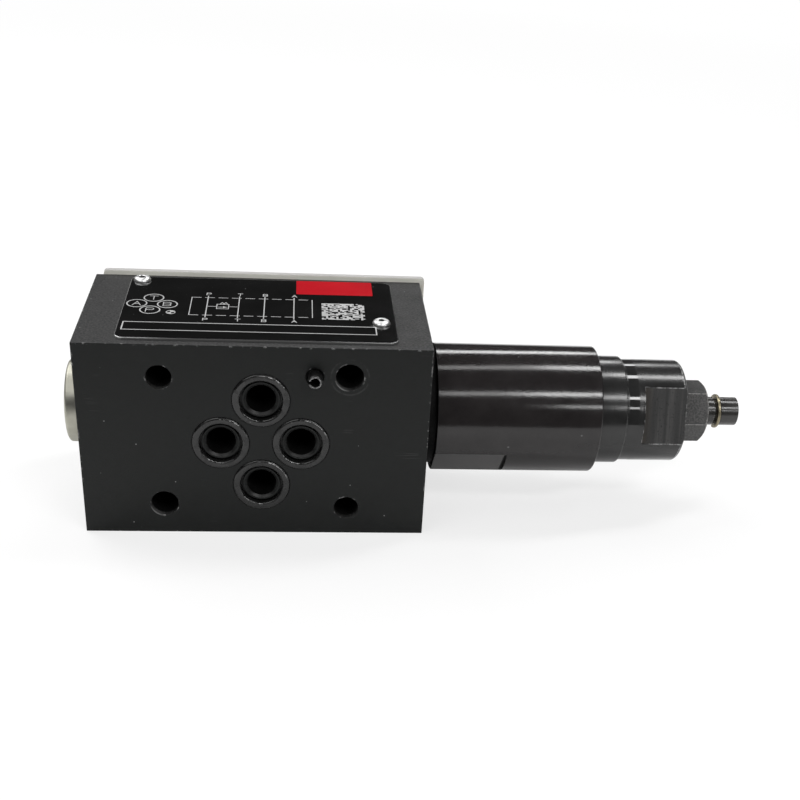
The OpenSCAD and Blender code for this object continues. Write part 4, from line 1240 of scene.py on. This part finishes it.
makePrint()
makeSquares()
makeRedField()
print("plate print made")


# cover on the far face
cover = {"corner": 1.0 * mm, "edge": 0.35 * mm, "nearEdge": 0.3, "rim": 1.44 * mm, "step": 0.22 * mm,
         "marks": (26.0 * mm, 14.0 * mm), "mark": 2.4 * mm, "markDepth": 0.1 * mm, "markSteps": 32}
coverLow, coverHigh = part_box("face_cover")


def makeCover():
    bm = bmesh.new()
    near, far, edge = coverLow.y, coverHigh.y, cover["edge"]
    part, rim = edge * cover["nearEdge"], cover["rim"]
    levels = [(near, edge), (near + part, part)] + softEdge(near + edge, far, edge)
    levels += [(far, rim), (far - cover["step"], rim + cover["step"])]
    low, high = (coverLow.x, coverLow.z), (coverHigh.x, coverHigh.z)
    rows = slabRows(bm, low, high, cover["corner"], levels, lambda u, v, h: (u, h, v))
    bm.faces.new(rows[0])
    marks = [rows[-1]]
    centre = Vector(((low[0] + high[0]) / 2, far - cover["step"], (low[1] + high[1]) / 2))
    depth, mark = cover["markDepth"], cover["mark"]
    for sx in (-1, 1):
        for sz in (-1, 1):
            mouth = centre + Vector((sx * cover["marks"][0], 0, sz * cover["marks"][1]))
            chain = ((0, mark), (depth, mark - depth), (depth, 0))
            marks.append(drillRows(bm, mouth, Vector((0, -1, 0)), chain, cover["markSteps"])[0])
    fillLoops(bm, marks)
    makePiece("faceCover", bm, coverPlastic, "valve", ["face_cover"], sharp=35,
              evenFaces=True)


makeCover()
print("cover made")


# turned pieces on the cartridge's axis, in millimetres
def hexReach(across, facing):
    def reach(a):
        off = (math.degrees(a) - facing + 30) % 60 - 30
        return across / 2 / math.cos(math.radians(off))
    return reach


def flatCut(across, facing, start, end):
    def cut(x, a):
        if not start <= x <= end:
            return math.inf
        off = (math.degrees(a) - facing + 90) % 180 - 90
        return across / 2 / max(math.cos(math.radians(off)), 0.001)
    return cut


def flatEdges(across, facing, r):
    half = math.degrees(math.acos(across / 2 / r))
    return [math.radians(facing + side + sign * half) for side in (0, 180) for sign in (-1, 1)]


endPlug = {"head": 9.5, "soft": 0.7, "seatSoft": 0.15, "across": 7.0, "facing": 30, "socketDeep": 6.0,
           "socketPoint": 1.2, "socketRim": 4.3, "socketLead": 0.3, "thread": 6.95, "threadSoft": 0.4,
           "undercut": 6.42, "gland": 1.58, "groove": 0.12, "grooveTop": (6.5, 5.8),
           "grooveFloor": (6.3, 6.0), "steps": 120}
plugLow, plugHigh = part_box("end_plug")


def makeEndPlug():
    bm = bmesh.new()
    head, seat, tip = plugLow.x / mm, blockLow.x / mm, plugHigh.x / mm
    size = endPlug
    gland, groove = seat + size["gland"], head + size["groove"]
    line = softCorners([
        (tip, 0.0), (tip, size["thread"], size["threadSoft"]), (gland, size["thread"]),
        (gland, size["undercut"]), (seat, size["undercut"]), (seat, size["head"], size["seatSoft"]),
        (head, size["head"], size["soft"]), (head, size["grooveTop"][0]), (groove, size["grooveFloor"][0]),
        (groove, size["grooveFloor"][1]), (head, size["grooveTop"][1]), (head, size["socketRim"])])
    hexagon = hexReach(size["across"], size["facing"])
    floor = head + size["socketDeep"]
    line += [(head + size["socketLead"], hexagon), (floor, hexagon), (floor + size["socketPoint"], 0)]
    skin(bm, turnedRows(bm, line, ringAngles(size["steps"])))
    makePiece("endPlug", bm, plugZinc, "valve", ["end_plug"], sharp=20)


cartridge = {
    "neck": 13.25,
    "neckLength": 2.5,
    "neckSoft": 0.12,
    "neckRoot": 0.2,
    "soft": 0.4,
    "startSoft": 0.18,
    "bore": 10.0,
    "boreSoft": 0.2,
    "steps": 160,
    "flatAcross": 28.0,
    "flatFacing": -41,
    "flatLength": 16.6,
    "flatRunout": 0.15,
    "flatRoom": 0.05,
    "spigotRoom": 0.4,
    # inside the block, from its end face: depth and radius
    "nose": ((20.28, 6.55), (19.88, 6.95), (19.44, 6.95), (19.44, 5.46), (16.82, 5.46), (16.82, 6.95),
             (15.58, 6.95), (15.58, 8.75), (10.98, 8.75), (8.78, 10.95), (1.98, 10.95), (1.98, 10.02),
             (0, 10.02)),
    "inside": ((-11.72, 8.0), (-11.72, 5.3), (-5.72, 5.3), (-5.72, 4.5), (16.78, 4.5), (16.78, 3.0),
               (20.28, 3.0)),
}


def makeCartridge():
    bm = bmesh.new()
    size = cartridge
    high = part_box("cartridge_body")[1]
    end, barrel, face = high.x / mm, high.z / mm, blockHigh.x / mm
    start = face + size["neckLength"]
    flatEnd = start + size["flatLength"]
    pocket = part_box("adjuster_cap")[0].x / mm - size["spigotRoom"]
    room = size["flatRoom"]
    cut = flatCut(size["flatAcross"], size["flatFacing"], start - room, flatEnd + room)
    outside = softCorners([
        (face, size["nose"][-1][1]), (face, size["neck"], size["neckSoft"]),
        (start, size["neck"], size["neckRoot"]), (start, barrel, size["startSoft"]), (flatEnd, barrel),
        (flatEnd + size["flatRunout"], barrel), (end, barrel, size["soft"]),
        (end, size["bore"], size["boreSoft"]), (pocket, size["bore"])])
    line = [(face - depth, r) for depth, r in size["nose"]] + outside[1:]
    line += [(pocket, size["inside"][0][1])] + [(face - depth, r) for depth, r in size["inside"]]
    angles = ringAngles(size["steps"], flatEdges(size["flatAcross"], size["flatFacing"], barrel))
    skin(bm, turnedRows(bm, line, angles, cut), along=True)
    makePiece("cartridgeBarrel", bm, barrelOxide, "valve", ["cartridge_body"])


adjusterCap = {"spigot": 9.95, "spigotSoft": 0.3, "groove": 8.36, "grooveRoom": 0.04, "cap": 12.05,
               "collarLength": 6.4, "bandLength": 4.3, "bandRing": 0.1, "soft": 0.4, "seatSoft": 0.15,
               "endSoft": 1.0, "flatAcross": 20.0, "flatFacing": 18, "flatRoom": 0.05, "endRoom": 0.1,
               "screwHole": 4.02, "holeLead": 0.4, "bore": 6.5, "threadLength": 8.0, "steps": 144}


def makeCap():
    bm = bmesh.new()
    size = adjusterCap
    low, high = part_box("adjuster_cap")
    start, end, collar = low.x / mm, high.x / mm, high.z / mm
    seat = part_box("cartridge_body")[1].x / mm
    collarEnd = seat + size["collarLength"]
    bandEnd = collarEnd + size["bandLength"]
    sealLow, sealHigh = (corner.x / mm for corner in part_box("cap_seal"))
    grooveStart, grooveEnd = sealLow - size["grooveRoom"], sealHigh + size["grooveRoom"]
    boreEnd = end - size["threadLength"]
    cut = flatCut(size["flatAcross"], size["flatFacing"], bandEnd - size["flatRoom"], end + size["endRoom"])
    lead = size["holeLead"]
    line = softCorners([
        (start, size["bore"]), (start, size["spigot"], size["spigotSoft"]), (grooveStart, size["spigot"]),
        (grooveStart, size["groove"]), (grooveEnd, size["groove"]), (grooveEnd, size["spigot"]),
        (seat, size["spigot"]), (seat, collar, size["seatSoft"]), (collarEnd, collar, size["soft"]),
        (collarEnd, size["cap"]), (bandEnd - size["bandRing"], size["cap"]), (bandEnd, size["cap"]),
        (end, size["cap"], size["endSoft"]), (end, size["screwHole"] + lead), (end - lead, size["screwHole"]),
        (boreEnd, size["screwHole"]), (boreEnd, size["bore"])])
    angles = ringAngles(size["steps"], flatEdges(size["flatAcross"], size["flatFacing"], size["cap"]))
    skin(bm, turnedRows(bm, line, angles, cut), along=True)
    makePiece("adjusterCap", bm, capOxide, "valve", ["adjuster_cap"])


locknut = {"across": 12.7, "facing": 29, "crown": 5.95, "crownSlope": 30, "crownSoft": 0.1, "crownDrop": 0.05,
           "bore": 4.02, "boreLead": 0.45, "recess": 5.35, "recessDeep": 1.38, "soft": 0.12, "steps": 120}


def makeLocknut():
    bm = bmesh.new()
    size = locknut
    low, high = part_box("locknut")
    start, end = low.x / mm, high.x / mm
    hexagon = hexReach(size["across"], size["facing"])
    slope = math.tan(math.radians(size["crownSlope"]))
    soft, crown, lead = size["soft"], size["crown"], size["boreLead"]
    recessEnd = start + size["recessDeep"]

    def foot(a):
        return hexagon(a) - soft

    def crownStart(a):
        return end - (hexagon(a) - crown) * slope

    line = [(start, size["recess"]), (start, foot), (start + soft, hexagon), (crownStart, hexagon),
            (end - size["crownDrop"], crown + size["crownSoft"]), (end, crown - size["crownSoft"]),
            (end, size["bore"] + lead), (end - lead, size["bore"]), (recessEnd, size["bore"]),
            (recessEnd, size["recess"])]
    corners = [math.radians(size["facing"] + 30 + 60 * k) for k in range(6)]
    skin(bm, turnedRows(bm, line, ringAngles(size["steps"], corners)), along=True)
    makePiece("lockNut", bm, nutOxide, "nut", ["locknut"])


screw = {"thread": 3.97, "lead": 0.4, "pitch": 1.0583, "threadDeep": 0.5, "valleySlope": 1.25,
         "valleyFloor": 0.9, "runout": 0.7, "stub": 3.375, "groove": 2.94, "grooveWall": 0.05,
         "grooveRoom": 0.5, "ringRoom": 0.02, "soft": 0.14, "socketRim": 2.15, "socketLead": 0.25,
         "across": 3.175, "socketDeep": 3.6, "socketPoint": 0.6, "stepsPerPitch": 8, "steps": 72}


def threadReach(x, start, end):
    # right-hand ridges that fade out at both ends of the thread
    size = screw

    def reach(a):
        turn = (x / size["pitch"] + a / (2 * math.pi)) % 1
        valley = min(max(1 - abs(turn * 2 - 1) * size["valleySlope"], 0), size["valleyFloor"])
        fade = min(1, (x - start) / size["pitch"], (end - x) / size["pitch"])
        return size["thread"] - size["threadDeep"] * valley * max(fade, 0)
    return reach


def makeScrew():
    bm = bmesh.new()
    size = screw
    low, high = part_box("adjusting_screw")
    start, end = low.x / mm, high.x / mm
    ringLow, ringHigh = (corner.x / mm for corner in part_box("retaining_ring"))
    grooveStart, grooveEnd = ringLow - size["grooveRoom"], ringHigh + size["ringRoom"]
    taper = size["thread"] - size["stub"]
    first, last = start + size["lead"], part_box("locknut")[1].x / mm - size["runout"] - taper
    line = [(start, 0), (start, size["thread"] - size["lead"]), (first, size["thread"])]
    count = int((last - first) / size["pitch"] * size["stepsPerPitch"])
    for k in range(1, count):
        x = first + (last - first) * k / count
        line.append((x, threadReach(x, first, last)))
    wall, floor = size["grooveWall"], end - size["socketDeep"]
    line += softCorners([
        (last, size["thread"]), (last + taper, size["stub"]), (grooveStart, size["stub"]),
        (grooveStart + wall, size["groove"]), (grooveEnd, size["groove"]), (grooveEnd + wall, size["stub"]),
        (end, size["stub"], size["soft"]), (end, size["socketRim"])])
    hexagon = hexReach(size["across"], 0)
    line += [(end - size["socketLead"], hexagon), (floor, hexagon), (floor - size["socketPoint"], 0)]
    skin(bm, turnedRows(bm, line, ringAngles(size["steps"])))
    makePiece("adjustingScrew", bm, screwOxide, "screw", ["adjusting_screw"], sharp=25)


snapRing = {"inner": 2.96, "innerSoft": 0.1, "soft": 0.3, "maxTurn": 18, "gap": 1.6, "inset": 0.13,
            "steps": 72}


def makeSnapRing():
    bm = bmesh.new()
    size = snapRing
    low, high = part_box("retaining_ring")
    x0, x1 = low.x / mm + size["inset"], high.x / mm - size["inset"]
    inner, innerSoft, outer, soft = size["inner"], size["innerSoft"], high.z / mm, size["soft"]
    corners = [(x0, inner, innerSoft), (x0, outer, soft), (x1, outer, soft), (x1, inner, innerSoft)]
    section = softCorners(corners, math.radians(size["maxTurn"]))
    half = math.asin(size["gap"] / 2 / outer)
    rows = []
    for k in range(size["steps"] + 1):
        a = -math.pi / 2 + half + (2 * math.pi - 2 * half) * k / size["steps"]
        rows.append([bm.verts.new(aroundAxis(x * mm, r * mm, a)) for x, r in section])
    tube(bm, rows)
    makePiece("snapRing", bm, ringGold, "screw", ["retaining_ring"], sharp=35)


rollPin = {"outer": 1.5875, "held": 1.4, "heldStep": 0.02, "inner": 1.02, "tip": 0.28, "tipRim": 0.08,
           "tipShare": 0.55, "slot": 0.75, "steps": 40}


def makeRollPin():
    bm = bmesh.new()
    size = rollPin
    low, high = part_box("locating_pin")
    centre = (low + high) / 2
    near, rim, outer, tip = low.y / mm, size["tipRim"], size["outer"], size["tip"]
    steps, step = size["steps"], size["heldStep"]
    # y, outer radius and how much the bore flares
    stations = ((near, outer - tip, rim), (near + rim, outer - tip * size["tipShare"], 0),
                (near + tip, outer, 0), (-step, outer, 0), (step, size["held"], 0),
                (high.y / mm, size["held"], 0))
    rows = []
    for y, wide, flare in stations:
        loop = []
        for r, order in ((wide, range(steps + 1)), (size["inner"] + flare, range(steps, -1, -1))):
            opening = math.asin(size["slot"] / 2 / r)
            for k in order:
                turn = opening + (2 * math.pi - 2 * opening) * k / steps
                x, z = centre.x - r * math.cos(turn) * mm, centre.z + r * math.sin(turn) * mm
                loop.append(bm.verts.new((x, y * mm, z)))
        rows.append(loop)
    skin(bm, rows)
    for row in (rows[0], rows[-1]):
        for k in range(steps):
            bm.faces.new((row[k], row[k + 1], row[-k - 2], row[-k - 1]))
    makePiece("rollPin", bm, pinSteel, "valve", ["locating_pin"], sharp=30)


makeEndPlug()
makeCartridge()
makeCap()
makeLocknut()
makeScrew()
makeSnapRing()
makeRollPin()
print("turned pieces made")


# port seals, squeezed into their recesses
portSeal = {"outer": 6.28 * mm, "inner": 4.64 * mm, "soft": 0.5 * mm, "steps": 5, "around": 96}


def makePortSeal(letter, place):
    bm = bmesh.new()
    low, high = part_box("port_seal_" + letter)
    size = portSeal
    inner, outer, soft, near, far = size["inner"], size["outer"], size["soft"], low.y, high.y
    corners = [(near, inner, soft), (near, outer, soft), (far, outer, soft), (far, inner, soft)]
    section = softCorners(corners, math.pi / 2 / size["steps"])
    rows = []
    for k in range(size["around"]):
        turn = 2 * math.pi * k / size["around"]
        rows.append([bm.verts.new((place.x + r * math.cos(turn), y, place.z + r * math.sin(turn)))
                     for y, r in section])
    skin(bm, rows, along=True)
    name = "portSeal" + letter.upper()
    makePiece(name, bm, portRubber, "valve", ["port_seal_" + letter], sharp=40)


for letter, place in zip("ptab", portPlaces):
    makePortSeal(letter, place)
print("port seals made")


# coil springs
springShape = {"closed": 1.1, "steps": 28, "around": 12}
springs = (
    # a part has its first and last coil and the bodies at its two ends
    # the pilot spring is made in two halves that meet at its middle coil
    {"node": "main_spring", "wire": 0.8, "coils": 9, "parts": {"mainSpring": (0, 9, "piston", "valve")}},
    {"node": "pilot_spring", "wire": 1.8, "coils": 6,
     "parts": {"pilotSpringSeatEnd": (0, 3, "poppet", "valve"),
               "pilotSpringScrewEnd": (3, 6, "valve", "plunger")}},
)


def coilPlace(turn, low, high, wire, coils):
    # the first and last coil lie close, as ground ends do
    close = springShape["closed"] * wire
    marks = ((0, low), (1, low + close), (coils - 1, high - close), (coils, high))
    for (turn0, x0), (turn1, x1) in zip(marks, marks[1:]):
        if turn <= turn1:
            return x0 + (x1 - x0) * (turn - turn0) / (turn1 - turn0)


def makeSpring(spring):
    low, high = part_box(spring["node"])
    wire, coils = spring["wire"], spring["coils"]
    x0, x1, reach = low.x / mm, high.x / mm, high.z / mm - wire / 2
    middle, rigid = (x0 + x1) / 2, wire * (1 + springShape["closed"])
    steps, around = springShape["steps"], springShape["around"]
    for name, (first, last, near, far) in spring["parts"].items():
        bm = bmesh.new()
        rows = []
        for i in range((last - first) * steps + 1):
            turn = first + i / steps
            centre = coilPlace(turn, x0 + wire / 2, x1 - wire / 2, wire, coils)
            row = []
            for k in range(around):
                a = 2 * math.pi * k / around
                x, r = centre + wire / 2 * math.sin(a), reach + wire / 2 * math.cos(a)
                row.append(bm.verts.new(aroundAxis(x * mm, r * mm, math.pi - 2 * math.pi * turn)))
            rows.append(row)
        tube(bm, rows)
        start = x0 + rigid if first == 0 else middle
        end = x1 - rigid if last == coils else middle
        pull = (near, far, (start * mm, axisY, 0), (end * mm, axisY, 0))
        makePiece(name, bm, springSteel, pull, [spring["node"]], sharp=35)


for spring in springs:
    makeSpring(spring)
print("springs made")


# seals and inner pieces keep their solids and get their finish
finishes = {
    sealRubber: ("end_plug_seal", "cartridge_face_seal", "nose_seal", "cap_seal", "plunger_seal", "nut_seal"),
    backupPlastic: ("nose_backup_ring",),
    groundSteel: ("main_piston", "pilot_seat", "pilot_poppet", "spring_plunger"),
}
for material, names in finishes.items():
    for name in names:
        dressNode(name, material)
print("inner pieces dressed")


# stage: pale floor, dim room and long strip lamps over and behind the valve
stage = {
    "floorX": 1.8,
    "floorFront": -0.145,  # the pale sheet ends in front of the valve, where the barrel mirrors its edge
    "floorBack": 2.4,
    "floorCorner": 0.02,
    "floorTone": 0.9,
    "floorRough": 0.9,
    "floorGlow": 0.7,
    "plainStart": 0.28,  # farther off, the floor is plain white to the camera
    "plainEnd": 0.75,
    "ambient": 0.15,
    "room": 0.045,
}
stripLamps = (
    # angles run from the front over the top at the strip's two ends, reach is its stretch along X in metres
    {"name": "backStrip", "angles": (138.5, 148.0), "away": 0.9, "wide": 7.5, "reach": (0.04, 0.33),
     "level": 9.5},
    {"name": "backStripEnd", "angles": (148.0, 152.5), "away": 0.9, "wide": 8.5, "reach": (0.33, 0.5),
     "level": 3.0},
    {"name": "overStrip", "angles": (103.5, 111.0), "away": 0.7, "wide": 8.0, "reach": (0.22, 0.6),
     "level": 16.0},
    {"name": "overStripEnd", "angles": (97.5, 103.5), "away": 0.7, "wide": 7.0, "reach": (0.04, 0.22),
     "level": 5.0},
    {"name": "frontStrip", "angles": (50.5, 54.5), "away": 0.7, "wide": 6.0, "reach": (0.2, 0.6),
     "level": 19.0},
    {"name": "frontStripEnd", "angles": (48.0, 50.5), "away": 0.7, "wide": 6.5, "reach": (0.04, 0.2),
     "level": 6.0},
    {"name": "lowStrip", "angles": (29.0, 30.5), "away": 0.75, "wide": 4.5, "reach": (0.265, 0.6),
     "level": 11.0},
    {"name": "leftPanel", "angles": (62.0, 62.0), "away": 0.7, "wide": 44.0, "reach": (-0.75, -0.1),
     "level": 2.0},
    {"name": "leftBackPanel", "angles": (120.0, 120.0), "away": 0.7, "wide": 42.0, "reach": (-0.75, -0.1),
     "level": 4.0},
)


def makeFloor():
    bm = bmesh.new()
    corners = roundRect(-stage["floorX"], stage["floorFront"], stage["floorX"], stage["floorBack"],
                        stage["floorCorner"])
    bm.faces.new([bm.verts.new((x, y, cadBox[0].z)) for x, y in corners])
    mesh = bpy.data.meshes.new("floor")
    bm.to_mesh(mesh)
    bm.free()
    material, tree, inputs = startMaterial("floorPaper", rough=stage["floorRough"], specular=0.0)
    inputs["Base Color"].default_value = gray(stage["floorTone"])
    paper = tree.nodes["Principled BSDF"]
    glow = addNode(tree, "Emission", {"Color": gray(1.0), "Strength": 1.0})
    path = addNode(tree, "LightPath").outputs
    off = vectorCalc(tree, "LENGTH", objectPlace(tree))
    plain = remap(tree, off, stage["plainStart"], stage["plainEnd"], stage["floorGlow"], 1.0)
    share = times(tree, path["Is Camera Ray"], plain)
    mix = addNode(tree, "MixShader", {0: share, 1: paper.outputs[0], 2: glow.outputs[0]})
    plugIn(tree, tree.nodes["Material Output"].inputs["Surface"], mix.outputs[0])
    mesh.materials.append(material)
    floor = bpy.data.objects.new("floor", mesh)
    scene.collection.objects.link(floor)


def makeRoom():
    # white behind the floor for the camera, a dim room in mirrors, soft light all round
    world = bpy.data.worlds.new("studioRoom")
    world.use_nodes = True
    scene.world = world
    tree = world.node_tree
    path = addNode(tree, "LightPath").outputs
    mirrored = calc(tree, "ADD", path["Is Glossy Ray"], path["Is Transmission Ray"], clamp=True)
    level = blendValue(tree, mirrored, stage["ambient"], stage["room"])
    sky = tree.nodes["Background"]
    sky.inputs["Color"].default_value = gray(1.0)
    plugIn(tree, sky.inputs["Strength"], calc(tree, "MAXIMUM", level, path["Is Camera Ray"]))


def makeLamps():
    for strip in stripLamps:
        ends = []
        for x, degrees in zip(strip["reach"], strip["angles"]):
            a = math.radians(degrees)
            ends.append(Vector((x, axisY - strip["away"] * math.cos(a), strip["away"] * math.sin(a))))
        along = (ends[1] - ends[0]).normalized()
        place = (ends[0] + ends[1]) / 2
        outward = place - Vector((place.x, axisY, 0))
        outward = (outward - along * outward.dot(along)).normalized()
        lamp = bpy.data.lights.new(strip["name"], "AREA")
        lamp.shape = "RECTANGLE"
        lamp.size = (ends[1] - ends[0]).length
        lamp.size_y = 2 * strip["away"] * math.tan(math.radians(strip["wide"] / 2))
        lamp.energy = strip["level"] * math.pi * lamp.size * lamp.size_y
        holder = bpy.data.objects.new(strip["name"], lamp)
        scene.collection.objects.link(holder)
        turn = Matrix((along, outward.cross(along), outward)).transposed()
        holder.matrix_world = Matrix.Translation(place) @ turn.to_4x4()
        holder.visible_camera = False


makeFloor()
makeRoom()
makeLamps()
print("stage and lamps made")
